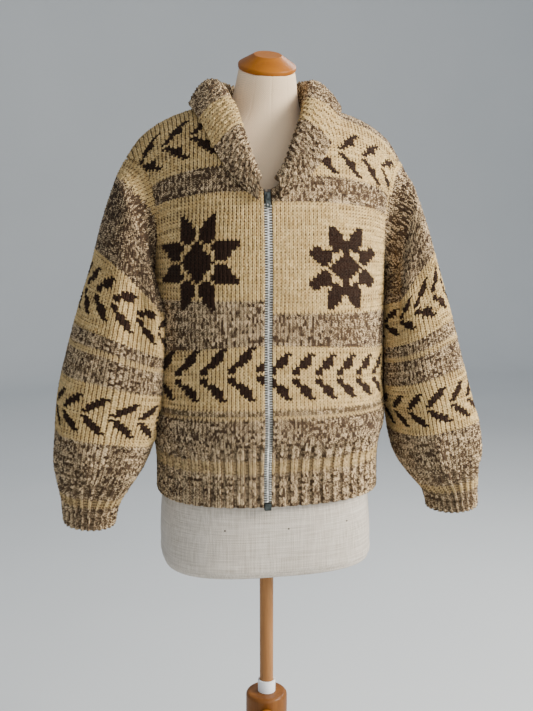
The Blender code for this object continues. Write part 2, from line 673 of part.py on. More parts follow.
def make_zip():
    start_level = UNDERARM_Z + YOKE * ZIP_SHARE
    lowest = HEM_Z + BOX_SIZE[2] - BOX_DROP + SEAM_GAP
    levels = [lowest, *BODY_LEVELS[1:], *YOKE_LEVELS[YOKE_LEVELS < start_level]]
    slider_bottom = SLIDER_Z - SLIDER_SIZE[2] / 2
    all_levels = np.linspace(UNDERARM_Z, start_level, 200)
    heights = [zip_line(level)[2] for level in all_levels]
    chain_top = float(np.interp(slider_bottom - SEAM_GAP, heights, all_levels))
    chain_levels = [level for level in levels if level < chain_top - LEVEL_SPARE] + [chain_top]
    half = CHAIN_WIDTH / 2
    chain_back = CHAIN_BEHIND + CHAIN_THICK
    zip_strip("zip_chain", "zip_metal", chain_levels, -half, half, CHAIN_BEHIND, chain_back)
    tape_levels = [level for level in levels if level < start_level - LEVEL_SPARE] + [start_level]
    make_tape("zip_tape_left", "front_left", tape_levels)
    make_tape("zip_tape_right", "front_right", tape_levels)
    middle = zip_line(float(np.interp(SLIDER_Z, heights, all_levels)))
    slope = zip_line(all_levels[-1]) - zip_line(chain_top)
    lean = Matrix.Rotation(-math.atan2(slope[1], slope[2]), 4, "X")
    depth = CHAIN_BEHIND + CHAIN_THICK / 2
    place = Matrix.Translation((middle[0], middle[1] + depth, SLIDER_Z)) @ lean
    make_slider().matrix_world = place
    eye_axis = (0, -SLIDER_SIZE[1] / 2 - BRIDGE_SIZE[1] / 2 + BRIDGE_BAR, BRIDGE_SIZE[2] / 2 - 2 * BRIDGE_BAR)
    make_pull_tab().matrix_world = place @ Matrix.Translation(eye_axis)
    box = add_object("zip_bottom_box", rounded_block(BOX_SIZE, 0.0010), "zip_metal")
    middle = zip_line(HEM_Z)
    box.location = middle + np.array((0, BOX_SIZE[1] / 2 - BOX_FORWARD, BOX_SIZE[2] / 2 - BOX_DROP))


# ---------------------------------------------------------------- form and stand
def make_form():
    """Torso: one smooth closed loft with a blind hole for the pole."""
    angles = np.linspace(0, math.tau, 40, endpoint=False)
    rings = []
    for height, half_width, front, back, centre_y, squareness in FORM_RINGS:
        outline = superellipse(angles, half_width, front, back, squareness)
        level = np.full(len(angles), height)
        rings.append(np.column_stack((outline[:, 0] + FORM_X, outline[:, 1] + centre_y, level)))
    tilt = np.array(Matrix.Rotation(NECK_TILT, 3, "X"))
    flat = np.column_stack((NECK_RADIUS * np.sin(angles), -NECK_RADIUS * np.cos(angles), 0 * angles))
    rings.append(flat @ tilt.T + np.array(NECK_TOP))
    bm = bmesh.new()
    loops = [[bm.verts.new(point) for point in ring] for ring in rings]
    for lower, upper in zip(loops, loops[1:]):
        for place in range(len(lower)):
            after = (place + 1) % len(lower)
            bm.faces.new((lower[place], lower[after], upper[after], upper[place]))
    bm.faces.new(loops[0])
    bm.faces.new(loops[-1])
    form = add_object("form_torso", bm, "linen")
    bottom = FORM_RINGS[0][0]
    radius = POLE_RADIUS + FIT
    socket = turned(((radius, bottom - 0.02), (radius, bottom + POLE_IN_FORM + FIT)), 32)
    cut(form, add_object("socket_cutter", socket, "linen", smooth=False))
    return bottom


def make_stand(form_bottom):
    cap = add_object("neck_cap", turned(CAP_PROFILE, 40), "honey_wood")
    cap.location = NECK_TOP
    cap.rotation_euler.x = NECK_TILT
    pole_top = form_bottom + POLE_IN_FORM
    pole = turned(((POLE_RADIUS, POLE_BOTTOM_Z), (POLE_RADIUS, pole_top)), 32)
    add_object("pole", pole, "pole_wood")
    wrap_thick, wrap_height = TAPE_WRAP
    wrap_bottom = HUB_TOP_Z + SEAM_GAP
    rings = [[np.array((radius * math.cos(a), radius * math.sin(a), z))
              for a in np.linspace(0, math.tau, 32, endpoint=False)]
             for radius, z in ((POLE_RADIUS + SEAM_GAP, wrap_bottom),
                               (POLE_RADIUS + SEAM_GAP, wrap_bottom + wrap_height),
                               (POLE_RADIUS + wrap_thick, wrap_bottom),
                               (POLE_RADIUS + wrap_thick, wrap_bottom + wrap_height))]
    add_object("pole_tape_wrap", wall_between(np.array(rings[2:]), np.array(rings[:2]), closed=True),
               "white_tape")
    hub = add_object("hub_column", turned(HUB_PROFILE, 48), "honey_wood")
    bore = POLE_RADIUS + FIT
    bore_shape = turned(((bore, HUB_BORE_BOTTOM_Z), (bore, HUB_TOP_Z + 0.02)), 32)
    cut(hub, add_object("bore_cutter", bore_shape, "honey_wood", smooth=False))
    toward_front = Matrix.Rotation(KNOB_TURN, 4, "Z") @ Matrix.Rotation(math.pi / 2, 4, "X")
    hole = SCREW_RADIUS + FIT
    inside = POLE_RADIUS / 3
    screw_hole = turned(((hole, inside), (hole, HUB_RADIUS + 0.02)), 22)
    screw_hole.transform(Matrix.Translation((0, 0, KNOB_Z)) @ toward_front)
    cut(hub, add_object("screw_hole_cutter", screw_hole, "honey_wood", smooth=False))
    add_object("stand_base", turned(BASE_PROFILE, 64), "honey_wood")
    knob_foot = HUB_RADIUS + 0.0015
    screw_start = POLE_RADIUS + SCREW_GAP
    profile = ((SCREW_RADIUS, screw_start), (SCREW_RADIUS, knob_foot))
    profile += tuple((radius, knob_foot + height) for radius, height in KNOB_PROFILE)
    knob = add_object("clamp_knob", turned(profile, 32), "honey_wood")
    knob.matrix_world = Matrix.Translation((0, 0, KNOB_Z)) @ toward_front


# ---------------------------------------------------------------- the whole object
for stale in list(bpy.data.objects):
    bpy.data.objects.remove(stale)

make_front("front_left", "front_left")
make_front("front_right", "front_right")
make_back("back")
make_sleeve("sleeve_left", -1)
make_sleeve("sleeve_right", 1)
make_collar("shawl_collar")
make_zip()
make_stand(make_form())
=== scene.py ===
"""Hand-knitted zip cardigan on a limbless linen dress form with a turned wooden stand.

Metres, +Z up. The form faces -Y. The sections follow the object as it is put together, from the
floor it stands on to the zip that closes the cardigan.
"""
import math

import bmesh
import bpy
import numpy as np
from mathutils import Matrix, Vector


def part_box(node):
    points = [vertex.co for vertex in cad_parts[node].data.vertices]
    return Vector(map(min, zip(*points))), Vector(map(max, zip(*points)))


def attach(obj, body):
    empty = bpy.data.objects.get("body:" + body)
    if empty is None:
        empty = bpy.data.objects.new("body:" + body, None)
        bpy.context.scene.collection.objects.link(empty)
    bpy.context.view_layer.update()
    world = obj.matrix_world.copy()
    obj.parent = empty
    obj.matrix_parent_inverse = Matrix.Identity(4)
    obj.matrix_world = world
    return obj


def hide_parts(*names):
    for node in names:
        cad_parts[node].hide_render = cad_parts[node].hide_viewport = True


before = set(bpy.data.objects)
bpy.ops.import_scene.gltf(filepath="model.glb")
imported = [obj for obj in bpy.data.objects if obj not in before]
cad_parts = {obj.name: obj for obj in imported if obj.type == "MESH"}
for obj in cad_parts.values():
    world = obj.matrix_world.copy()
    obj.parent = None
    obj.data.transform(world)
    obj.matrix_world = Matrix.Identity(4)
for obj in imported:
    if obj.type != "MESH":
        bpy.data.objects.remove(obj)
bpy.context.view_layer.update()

# ------------------------------------------------------------------ camera
# A standing viewer's camera, a little to the form's right-hand side and at chest height,
# tipped down so that the whole garment and the top of the stand are in view.
camera_turn = math.radians(-11)
camera_tip = math.radians(9.3)
camera_distance, camera_height = 1.52, 1.2755
camera = bpy.data.objects.new("camera", bpy.data.cameras.new("camera"))
camera.data.lens = 48.1
camera.data.sensor_width = 36
camera.location = (math.sin(camera_turn) * camera_distance, -math.cos(camera_turn) * camera_distance,
                   camera_height)
camera.rotation_euler = (math.pi / 2 - camera_tip, 0, camera_turn)
bpy.context.scene.collection.objects.link(camera)
bpy.context.scene.camera = camera


# ------------------------------------------------------------------ floor, backdrop and light
# A pale paper sweep: flat floor that curves up into a plain wall well behind the stand.
# A big soft window light comes from the right, with weak light from everywhere else.
class Tone:
    """One output of a node; sums and products of tones add the maths nodes that work them out."""

    def __init__(self, recipe, socket):
        self.recipe, self.socket = recipe, socket

    def maths(self, operation, *others):
        values = dict(enumerate((self, *others)))
        return self.recipe.node("ShaderNodeMath", {"operation": operation}, values)

    def __add__(self, other):
        return self.maths("ADD", other)

    def __sub__(self, other):
        return self.maths("SUBTRACT", other)

    def __rsub__(self, other):
        return self.recipe.node("ShaderNodeMath", {"operation": "SUBTRACT"}, {0: other, 1: self})

    def __mul__(self, other):
        return self.maths("MULTIPLY", other)

    __radd__, __rmul__ = __add__, __mul__

    def within(self, low, high):
        """0 below low, 1 above high, smooth between; high may be the smaller."""
        return self.recipe.node("ShaderNodeMapRange", {"interpolation_type": "SMOOTHSTEP"},
                                {"Value": self, "From Min": low, "From Max": high})


class Recipe:
    """A material built node by node."""

    def __init__(self, name, **fixed):
        self.material = bpy.data.materials.new(name)
        self.material.use_nodes = True
        self.tree = self.material.node_tree
        self.shader = self.tree.nodes["Principled BSDF"]
        for socket, value in fixed.items():
            self.join(self.shader.inputs[socket.replace("_", " ")], value)

    def join(self, socket, value):
        if isinstance(value, Tone):
            self.tree.links.new(value.socket, socket)
        elif socket.type == "RGBA" and len(value) == 3:
            socket.default_value = (*value, 1.0)
        else:
            socket.default_value = value

    def node(self, kind, settings=None, values=None, output=0):
        """Adds a node: settings first, then its sockets, and gives back one of its outputs."""
        made = self.tree.nodes.new(kind)
        for name, value in (settings or {}).items():
            if name == "stops":
                for place, (position, colour) in enumerate(value):
                    ramp = made.color_ramp.elements
                    stop = ramp[place] if place < 2 else ramp.new(position)
                    stop.position, stop.color = position, (*colour, 1.0)
            else:
                setattr(made, name, value)
        for name, value in (values or {}).items():
            self.join(made.inputs[name], value)
        return Tone(self, made.outputs[output])

    def mix(self, share, first, second):
        """From the first colour to the second as share goes from 0 to 1."""
        return self.node("ShaderNodeMix", {"data_type": "RGBA"}, {0: share, 6: first, 7: second}, 2)

    def place(self):
        return self.node("ShaderNodeTexCoord", output=3)

    def stretched(self, vector, scale):
        return self.node("ShaderNodeVectorMath", {"operation": "MULTIPLY"}, {0: vector, 1: scale})

    def noise(self, vector, scale, detail=2.0, roughness=0.5):
        return self.node("ShaderNodeTexNoise", {"noise_dimensions": "3D"},
                         {"Vector": vector, "Scale": scale, "Detail": detail, "Roughness": roughness})

    def finish(self, colour, roughness, height=None, relief=0.001, strength=1.0):
        self.join(self.shader.inputs["Base Color"], colour)
        self.join(self.shader.inputs["Roughness"], roughness)
        if height is not None:
            bump = self.node("ShaderNodeBump", None,
                             {"Strength": strength, "Distance": relief, "Height": height})
            self.join(self.shader.inputs["Normal"], bump)
        return self.material


def add_piece(name, bm, material, smooth_angle=None):
    """Turns a bmesh into an object of the scene."""
    mesh = bpy.data.meshes.new(name)
    bm.to_mesh(mesh)
    bm.free()
    mesh.shade_smooth()
    if smooth_angle:
        mesh.set_sharp_from_angle(angle=math.radians(smooth_angle))
    mesh.materials.append(material)
    piece = bpy.data.objects.new(name, mesh)
    bpy.context.scene.collection.objects.link(piece)
    return piece


sweep_front, sweep_back, sweep_bend, sweep_top, sweep_half_width = -6.0, 5.0, 1.2, 6.0, 8.0
sweep_profile = [(sweep_front, 0.0), (sweep_back, 0.0)]
sweep_profile += [(sweep_back + sweep_bend * math.sin(a), sweep_bend - sweep_bend * math.cos(a))
                  for a in np.linspace(0.1, math.pi / 2, 16)]
sweep_profile += [(sweep_back + sweep_bend, sweep_top)]
sweep_mesh = bmesh.new()
sweep_rows = [[sweep_mesh.verts.new((x, y, z)) for x in (-sweep_half_width, sweep_half_width)]
              for y, z in sweep_profile]
for near, far in zip(sweep_rows, sweep_rows[1:]):
    sweep_mesh.faces.new((near[0], near[1], far[1], far[0]))
paper = Recipe("pale_paper", Specular_IOR_Level=0.1)
paper_mottle = paper.noise(paper.place(), 1.5)
paper_colour = paper.mix(paper_mottle, (0.60, 0.62, 0.62), (0.66, 0.675, 0.67))
sweep = add_piece("paper_sweep", sweep_mesh, paper.finish(paper_colour, 0.9))

world = bpy.data.worlds.new("room")
bpy.context.scene.world = world
world.use_nodes = True
world.node_tree.nodes["Background"].inputs["Color"].default_value = (0.86, 0.93, 1.04, 1.0)
world.node_tree.nodes["Background"].inputs["Strength"].default_value = 0.54
# name, place, what it points at, size, power, colour
for lamp_name, lamp_place, lamp_target, lamp_size, lamp_power, lamp_colour in (
        ("window", (2.3, -1.3, 2.3), (0.0, 0.0, 1.1), 1.3, 185.0, (1.0, 0.95, 0.87)),
        ("far_window", (1.6, 1.4, 2.6), (0.0, 0.0, 1.2), 1.2, 45.0, (0.94, 0.97, 1.0)),
        ("room_bounce", (0.4, -2.9, 1.7), (0.0, 0.0, 1.1), 2.0, 26.0, (1.0, 0.97, 0.92))):
    lamp = bpy.data.objects.new(lamp_name, bpy.data.lights.new(lamp_name, "AREA"))
    lamp.data.energy, lamp.data.size, lamp.data.color = lamp_power, lamp_size, lamp_colour
    toward = Vector(lamp_target) - Vector(lamp_place)
    lamp.location = lamp_place
    lamp.rotation_euler = toward.to_track_quat("-Z", "Y").to_euler()
    bpy.context.scene.collection.objects.link(lamp)


# ------------------------------------------------------------------ base, hub column and clamp knob
# Turned hardwood, sanded and varnished in a honey colour. The base and the column's foot are glued,
# and the knob's screw runs through the column to clamp the pole.
def turned(profile, segments):
    """Body of revolution about Z from (radius, height) pairs, closed at each end."""
    bm = bmesh.new()
    angles = np.linspace(0, math.tau, segments, endpoint=False)
    rings = [[bm.verts.new((radius * math.cos(a), radius * math.sin(a), z)) for a in angles]
             for radius, z in profile]
    for lower, upper in zip(rings, rings[1:]):
        for place in range(segments):
            after = (place + 1) % segments
            bm.faces.new((lower[place], lower[after], upper[after], upper[place]))
    bm.faces.new(rings[0][::-1])
    bm.faces.new(rings[-1])
    return bm


def rounded_profile(profile, radius, steps=4):
    """Softens the corners of a turned profile, as sanding does."""
    points = [np.array(point) for point in profile]
    soft = [points[0]]
    for before, here, after in zip(points, points[1:], points[2:]):
        reach = min(radius, *(np.linalg.norm(end - here) * 0.45 for end in (before, after)))
        start = here + (before - here) / np.linalg.norm(before - here) * reach
        end = here + (after - here) / np.linalg.norm(after - here) * reach
        for share in np.linspace(0, 1, steps):
            soft.append((1 - share) ** 2 * start + 2 * share * (1 - share) * here + share ** 2 * end)
    return soft + [points[-1]]


def varnished_wood(name, pale, dark, along, roughness, coat):
    """Wood whose grain runs along one axis (0, 1, 2), with pores, slow figure and worn varnish."""
    wood = Recipe(name, Coat_Roughness=0.18, Specular_IOR_Level=0.18)
    stretch = [26.0, 26.0, 26.0]
    stretch[along] = 2.2
    grain_place = wood.stretched(wood.place(), stretch)
    figure = wood.noise(grain_place, 1.2, 3.0, 0.55)
    streak = wood.noise(grain_place, 7.0, 4.0, 0.65)
    pore_place = wood.stretched(wood.place(), [x * 9 for x in stretch])
    pores = wood.noise(pore_place, 2.2, 2.0).within(0.62, 0.72)
    wear = wood.noise(wood.place(), 22.0, 3.0)
    tone = figure * 0.65 + streak * 0.35
    colour = wood.node("ShaderNodeValToRGB", {"stops": ((0.30, dark), (0.66, pale))}, {"Fac": tone})
    colour = wood.mix(pores * 0.35, colour, tuple(0.45 * c for c in dark))
    wood.join(wood.shader.inputs["Coat Weight"], wear * 0.3 + coat)
    return wood.finish(colour, wear * 0.15 + roughness, streak * 0.6 - pores, 0.0004, 0.5)


honey_wood = varnished_wood("honey_wood", (0.36, 0.118, 0.004), (0.23, 0.066, 0.003), 0, 0.46, 0.0)
hub_wood = varnished_wood("hub_wood", (0.22, 0.080, 0.012), (0.11, 0.036, 0.006), 2, 0.46, 0.02)
base_radius, hub_radius, hub_top, bore_radius = 0.200, 0.0352, 0.4435, 0.0119
base_profile = ((0.196, 0.0), (base_radius, 0.004), (base_radius, 0.024), (0.190, 0.033),
                (0.178, 0.035), (0.10, 0.0352))
base_piece = add_piece("turned_base", turned(rounded_profile(base_profile, 0.006), 128), honey_wood, 40)
hub_profile = ((0.070, 0.0353), (0.074, 0.039), (0.074, 0.048), (0.070, 0.052), (0.043, 0.056),
               (hub_radius, 0.068), (hub_radius, 0.4385), (0.0325, 0.4425), (0.0295, hub_top),
               (0.0135, hub_top), (bore_radius, 0.4422), (bore_radius, 0.40))
hub_piece = add_piece("turned_column", turned(rounded_profile(hub_profile, 0.004), 96), hub_wood, 40)
knob_height, knob_foot = 0.415, 0.0367
knob_profile = ((0.004, 0.0125), (0.004, knob_foot), (0.012, knob_foot), (0.0150, knob_foot + 0.003),
                (0.0165, knob_foot + 0.011), (0.0150, knob_foot + 0.021), (0.0100, knob_foot + 0.025),
                (0.0040, knob_foot + 0.0262))
knob_piece = add_piece("turned_knob", turned(rounded_profile(knob_profile, 0.004), 64), honey_wood, 40)
knob_turn = Matrix.Rotation(math.radians(-11), 4, "Z") @ Matrix.Rotation(math.pi / 2, 4, "X")
knob_piece.data.transform(Matrix.Translation((0, 0, knob_height)) @ knob_turn)
for wooden, node, body in ((base_piece, "stand_base", "stand"), (hub_piece, "hub_column", "stand"),
                           (knob_piece, "clamp_knob", "knob")):
    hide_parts(node)
    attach(wooden, body)


# ------------------------------------------------------------------ pole and its tape
# A wooden pole slides in the column. A few turns of white tape round it rest on the column's mouth
# and set its height. The tape's end shows as a small step.
pole_wood = varnished_wood("pole_wood", (0.40, 0.195, 0.068), (0.26, 0.112, 0.034), 2, 0.50, 0.02)
pole_radius, pole_foot, pole_head = 0.0115, 0.230, 0.753
pole_mesh = turned(((pole_radius, pole_foot), (pole_radius, pole_head)), 64)
pole_piece = add_piece("smooth_pole", pole_mesh, pole_wood, 40)
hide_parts("pole")
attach(pole_piece, "mast")

white_tape = Recipe("white_tape", Subsurface_Weight=0.05)
tape_wrinkle = white_tape.noise(white_tape.stretched(white_tape.place(), (90, 90, 600)), 1.0, 3.0)
tape_smudge = white_tape.noise(white_tape.place(), 60.0, 3.0)
tape_colour = white_tape.mix(tape_smudge.within(0.5, 0.8) * 0.4, (0.93, 0.94, 0.93), (0.74, 0.72, 0.68))
white_tape.finish(tape_colour, tape_smudge * 0.2 + 0.45, tape_wrinkle, 0.0006, 0.6)
tape_radius, tape_bottom, tape_height, tape_turns = 0.01186, hub_top + 0.0004, 0.0216, 3
tape_build, tape_thickness = 0.0026, 0.0006    # how much the turns add up to, and one layer
tape_mesh = bmesh.new()
tape_loops = []
for turn in np.linspace(0, math.tau * tape_turns, 64 * tape_turns):
    radius = tape_radius + tape_build * turn / (math.tau * tape_turns)
    skew = 0.0005 * math.sin(turn * 0.7)
    heights = (tape_bottom + max(skew, 0), tape_bottom + tape_height + min(skew, 0) - 0.0004)
    tape_loops.append([tape_mesh.verts.new((r * math.cos(turn), r * math.sin(turn), z))
                       for r, z in ((radius, heights[0]), (radius + tape_thickness, heights[0]),
                                    (radius + tape_thickness, heights[1]), (radius, heights[1]))])
for before, after in zip(tape_loops, tape_loops[1:]):
    for corner in range(4):
        following = (corner + 1) % 4
        tape_mesh.faces.new((before[corner], after[corner], after[following], before[following]))
tape_mesh.faces.new(tape_loops[0])
tape_mesh.faces.new(tape_loops[-1][::-1])
tape_piece = add_piece("tape_turns", tape_mesh, white_tape.material, 40)
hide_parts("pole_tape_wrap")
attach(tape_piece, "mast")


# ------------------------------------------------------------------ dress form
# A padded torso covered in plain-weave linen, cut in panels whose seams run down the front, the sides
# and the back. A faceted wooden cap closes the neck, and pins have left a few holes near the bottom,
# which show as dark discs of painted shade.
def hermite(start, end, start_slope, end_slope, share):
    """Cubic from start to end with the given slopes."""
    s2, s3 = share ** 2, share ** 3
    return ((2 * s3 - 3 * s2 + 1) * start + (s3 - 2 * s2 + share) * start_slope
            + (3 * s2 - 2 * s3) * end + (s3 - s2) * end_slope)


def smooth_row(rows, value):
    """The columns after the first of a table, at any value of its first column."""
    table = np.array(rows)
    keys, columns = table[:, 0], table[:, 1:]
    slopes = np.gradient(columns, keys, axis=0)
    value = min(max(value, keys[0]), keys[-1])
    row = int(np.clip(np.searchsorted(keys, value) - 1, 0, len(keys) - 2))
    span = keys[row + 1] - keys[row]
    share = (value - keys[row]) / span
    return hermite(columns[row], columns[row + 1], slopes[row] * span, slopes[row + 1] * span, share)


def superellipse(angle, half_width, front, back, squareness):
    """Points of a ring whose angle runs from the front (-Y) towards +X."""
    sine, cosine = np.sin(angle), np.cos(angle)
    power = 2.0 / squareness
    depth = np.where(cosine > 0, front, back)
    return np.stack((half_width * np.sign(sine) * np.abs(sine) ** power,
                     -depth * np.sign(cosine) * np.abs(cosine) ** power), axis=-1)


def unit(vector):
    return vector / np.maximum(np.linalg.norm(vector, axis=-1, keepdims=True), 1e-12)


FORM_X = -0.003
# height, half width, front, back, centre y, squareness
FORM_RINGS = (
    (0.6930, 0.1560, 0.1090, 0.1070, 0.000, 2.7),
    (0.6955, 0.1640, 0.1160, 0.1140, 0.000, 2.8),
    (0.7030, 0.1700, 0.1215, 0.1190, 0.000, 2.8),
    (0.7250, 0.1720, 0.1240, 0.1215, 0.000, 2.7),
    (0.7700, 0.1715, 0.1245, 0.1210, 0.000, 2.5),
    (0.8050, 0.1690, 0.1240, 0.1180, 0.000, 2.4),
    (0.8600, 0.1640, 0.1200, 0.1140, 0.000, 2.3),
    (0.9400, 0.1480, 0.1090, 0.1020, 0.000, 2.2),
    (1.0200, 0.1300, 0.0990, 0.0930, 0.000, 2.2),
    (1.0900, 0.1330, 0.1030, 0.0980, 0.000, 2.2),
    (1.1600, 0.1460, 0.1170, 0.1050, 0.000, 2.2),
    (1.2200, 0.1520, 0.1190, 0.1080, 0.000, 2.2),
    (1.2700, 0.1530, 0.1090, 0.1060, 0.001, 2.2),
    (1.3100, 0.1500, 0.0960, 0.0960, 0.004, 2.2),
    (1.3400, 0.1380, 0.0830, 0.0850, 0.006, 2.1),
    (1.3650, 0.1120, 0.0700, 0.0640, 0.008, 2.0),
    (1.3850, 0.0800, 0.0600, 0.0480, 0.006, 2.0),
    (1.4050, 0.0600, 0.0540, 0.0460, 0.003, 2.0),
    (1.4250, 0.0520, 0.0500, 0.0480, -0.002, 2.0),
    (1.4450, 0.0480, 0.0475, 0.0465, -0.009, 2.0),
)
NECK_TILT = math.radians(23)
NECK_TOP = (FORM_X, -0.0180, 1.4730)
NECK_RADIUS = 0.0428
SEAM_GROOVE, SEAM_GROOVE_REACH = 0.0004, 0.014    # depth, and half width in radians
seam_angles = np.radians((0, 31, -31, 90, -90, 149, -149, 180))


def form_ring(height, angles):
    """One ring of the torso; the neck's last stretch tips back to the cap."""
    half_width, front, back, centre_y, squareness = smooth_row(FORM_RINGS, height)
    outline = superellipse(angles, half_width, front, back, squareness)
    return np.column_stack((outline[:, 0] + FORM_X, outline[:, 1] + centre_y,
                            np.full(len(angles), height)))


form_angles = np.linspace(0, math.tau, 256, endpoint=False)
form_bottom, form_neck = FORM_RINGS[0][0], FORM_RINGS[-1][0]
form_heights = np.concatenate((np.linspace(form_bottom, 0.71, 12), np.linspace(0.715, form_neck, 90)))
form_grid = [form_ring(height, form_angles) for height in form_heights]
neck_tilt = np.array(Matrix.Rotation(NECK_TILT, 3, "X"))
neck_flat = np.column_stack((NECK_RADIUS * np.sin(form_angles), -NECK_RADIUS * np.cos(form_angles),
                             0 * form_angles))
neck_end = neck_flat @ neck_tilt.T + np.array(NECK_TOP)
neck_start = form_grid[-1]
neck_slope = (form_grid[-1] - form_grid[-2]) * 8
form_grid += [hermite(neck_start, neck_end, neck_slope, (neck_end - neck_start), share)
              for share in np.linspace(0.12, 1, 9)]
form_grid = np.array(form_grid)
form_round = np.roll(form_grid, -1, 1) - np.roll(form_grid, 1, 1)
form_out = unit(np.cross(form_round, np.gradient(form_grid, axis=0)))
turn_away = np.abs((form_angles[:, None] - seam_angles[None, :] + math.pi) % math.tau - math.pi)
seam_groove = np.exp(-(turn_away.min(axis=1) / SEAM_GROOVE_REACH) ** 2)
form_grid -= form_out * seam_groove[None, :, None] * SEAM_GROOVE
form_mesh = bmesh.new()
form_loops = [[form_mesh.verts.new(point) for point in ring] for ring in form_grid]
for lower, upper in zip(form_loops, form_loops[1:]):
    for place in range(len(lower)):
        after = (place + 1) % len(lower)
        form_mesh.faces.new((lower[place], lower[after], upper[after], upper[place]))
form_mesh.faces.new(form_loops[0][::-1])
form_mesh.faces.new(form_loops[-1])

linen = Recipe("linen_cover", Sheen_Weight=0.15, Sheen_Roughness=0.5)
linen_place = linen.place()
split = linen.node("ShaderNodeSeparateXYZ", None, {0: linen_place})
across, depth, height = (Tone(linen, split.socket.node.outputs[axis]) for axis in range(3))
thread_slub = linen.noise(linen_place, 55.0, 3.0)
warp = ((across + depth * 0.6) * 2600 + thread_slub * 5).maths("SINE")
weft = (height * 2600 + thread_slub * 5).maths("SINE")
weave = warp * weft
slub_across = linen.noise(linen.stretched(linen_place, (18, 18, 700)), 1.0, 2.0)
slub_up = linen.noise(linen.stretched(linen_place, (700, 700, 18)), 1.0, 2.0)
slubs = slub_across + slub_up
linen_colour = linen.mix(slubs * 1.6 - 1.0, (0.37, 0.315, 0.245), (0.70, 0.64, 0.55))
linen_colour = linen.mix(linen.noise(linen_place, 9.0, 3.0).within(0.45, 0.8) * 0.25, linen_colour,
                         (0.50, 0.42, 0.33))
# Painted warm light: the linen's colour turns brighter and warmer from the waist up to the neck.
painted_neck_light = linen.node("ShaderNodeSeparateXYZ", None, {0: linen_place}, 2).within(1.02, 1.36)
linen_colour = linen.mix(painted_neck_light * 0.9, linen_colour, (0.92, 0.690, 0.440))
# Painted shade in the gaps between the threads: the colour darkens where the weave is low.
linen_colour = linen.mix(weave.within(0.2, -0.9) * 0.30, linen_colour, (0.28, 0.24, 0.19))
linen.finish(linen_colour, slub_up * 0.1 + 0.78, weave * 0.5 + slubs, 0.0005, 0.5)
form_piece = add_piece("linen_torso", form_mesh, linen.material, 50)
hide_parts("form_torso")
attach(form_piece, "dressed_form")

# Painted shade: dark discs stand in for the shade inside the pin holes.
pin_hole_shade = Recipe("pin_hole_shade")
pin_speckle = pin_hole_shade.noise(pin_hole_shade.place(), 900.0)
pin_hole_shade.finish(pin_hole_shade.mix(pin_speckle, (0.03, 0.02, 0.015), (0.10, 0.08, 0.06)), 0.9)
pin_mesh = bmesh.new()
pin_height, pin_radius = 0.776, 0.0015
for pin_angle in (-24.5, 2.5, 36.0):
    ring = form_ring(pin_height, np.radians((pin_angle - 0.3, pin_angle, pin_angle + 0.3)))
    outward = unit(np.cross(ring[2] - ring[0], (0.0, 0.0, 1.0)))
    disc = Matrix.Translation(ring[1] + outward * 0.0003)
    facing = Matrix(np.column_stack((unit(ring[2] - ring[0]), (0, 0, 1), outward)).tolist()).to_4x4()
    bmesh.ops.create_circle(pin_mesh, cap_ends=True, radius=pin_radius, segments=12,
                            matrix=disc @ facing)
pin_piece = add_piece("pin_holes", pin_mesh, pin_hole_shade.material)
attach(pin_piece, "dressed_form")

CAP_PROFILE = ((0.0436, 0.0003), (0.0444, 0.0015), (0.0444, 0.0062),
               (0.0432, 0.0075), (0.0238, 0.0200), (0.0214, 0.0216))
cap_mesh = turned(rounded_profile(CAP_PROFILE, 0.0016, 3), 96)
cap_mesh.transform(Matrix.Translation(NECK_TOP) @ Matrix.Rotation(NECK_TILT, 4, "X"))
cap_piece = add_piece("turned_neck_cap", cap_mesh, honey_wood, 25)
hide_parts("neck_cap")
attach(cap_piece, "dressed_form")


# ------------------------------------------------------------------ fronts and back of the cardigan
# Thick hand-spun wool in stocking stitch, cream with dark brown figures and bands of marled yarn, and
# a ribbed hem. Each panel is knitted stitch by stitch on one body surface, as a cloth with two faces.
WALL = 0.006               # thickness of the knitted cloth
HEM_Z = 0.815
UNDERARM_Z = 1.150
YOKE = 0.27                # length of a column from the underarm to the shoulder line
ZIP_X = -0.0240            # the zip hangs to one side of the form's own centre line
ZIP_EDGE = 0.0058          # from the zip's middle to the knitted edge of each front
SEAM_SHIFT = 0.008         # how far each side seam is drawn round with the zip
SHOULDER_Y = 0.005
TIP_INSET = 0.034          # columns lost between the side seam and the shoulder's tip
ARMHOLE_DEPTH = 0.068      # columns lost at the armhole's narrowest
ARMHOLE_CURVE = 0.30       # share of the yoke in which the armhole curves in
RISE = 1.35                # how long a column stays upright above the underarm
REACH = 2.7                # how far it lies forward before it meets the shoulder line
NECK_SHARE = 0.35          # the neck's share of the shoulder line
NECK_CURVE = 0.60
BACK_NECK_DROP = 0.22      # share of the yoke that the back of the neck is cut down
ZIP_SHARE = 0.385          # share of the yoke that the zip closes
CLOTH_CENTRE = np.array((0.0, 0.0, 1.1))     # the cloth's outer face looks away from here
# height, half width, front, back, squareness
BODY_RINGS = (
    (0.815, 0.1800, 0.1360, 0.1280, 2.45),
    (0.845, 0.1795, 0.1355, 0.1275, 2.45),
    (0.880, 0.1805, 0.1362, 0.1285, 2.45),
    (0.905, 0.1850, 0.1405, 0.1325, 2.45),
    (0.935, 0.1885, 0.1435, 0.1345, 2.45),
    (1.000, 0.1865, 0.1405, 0.1320, 2.40),
    (1.070, 0.1850, 0.1400, 0.1310, 2.40),
    (1.150, 0.1850, 0.1430, 0.1310, 2.40),
)
# share of the shoulder, half width, height
SHOULDER_LINE = (
    (-0.20, -0.030, 1.418),
    (0.00, 0.000, 1.420),
    (0.35, 0.075, 1.418),
    (0.55, 0.120, 1.409),
    (0.78, 0.172, 1.386),
    (0.90, 0.197, 1.366),
    (1.00, 0.217, 1.338),
    (1.20, 0.246, 1.285),
)
RING_ANGLES = np.linspace(-math.pi, math.pi, 481)
ring_store = {}


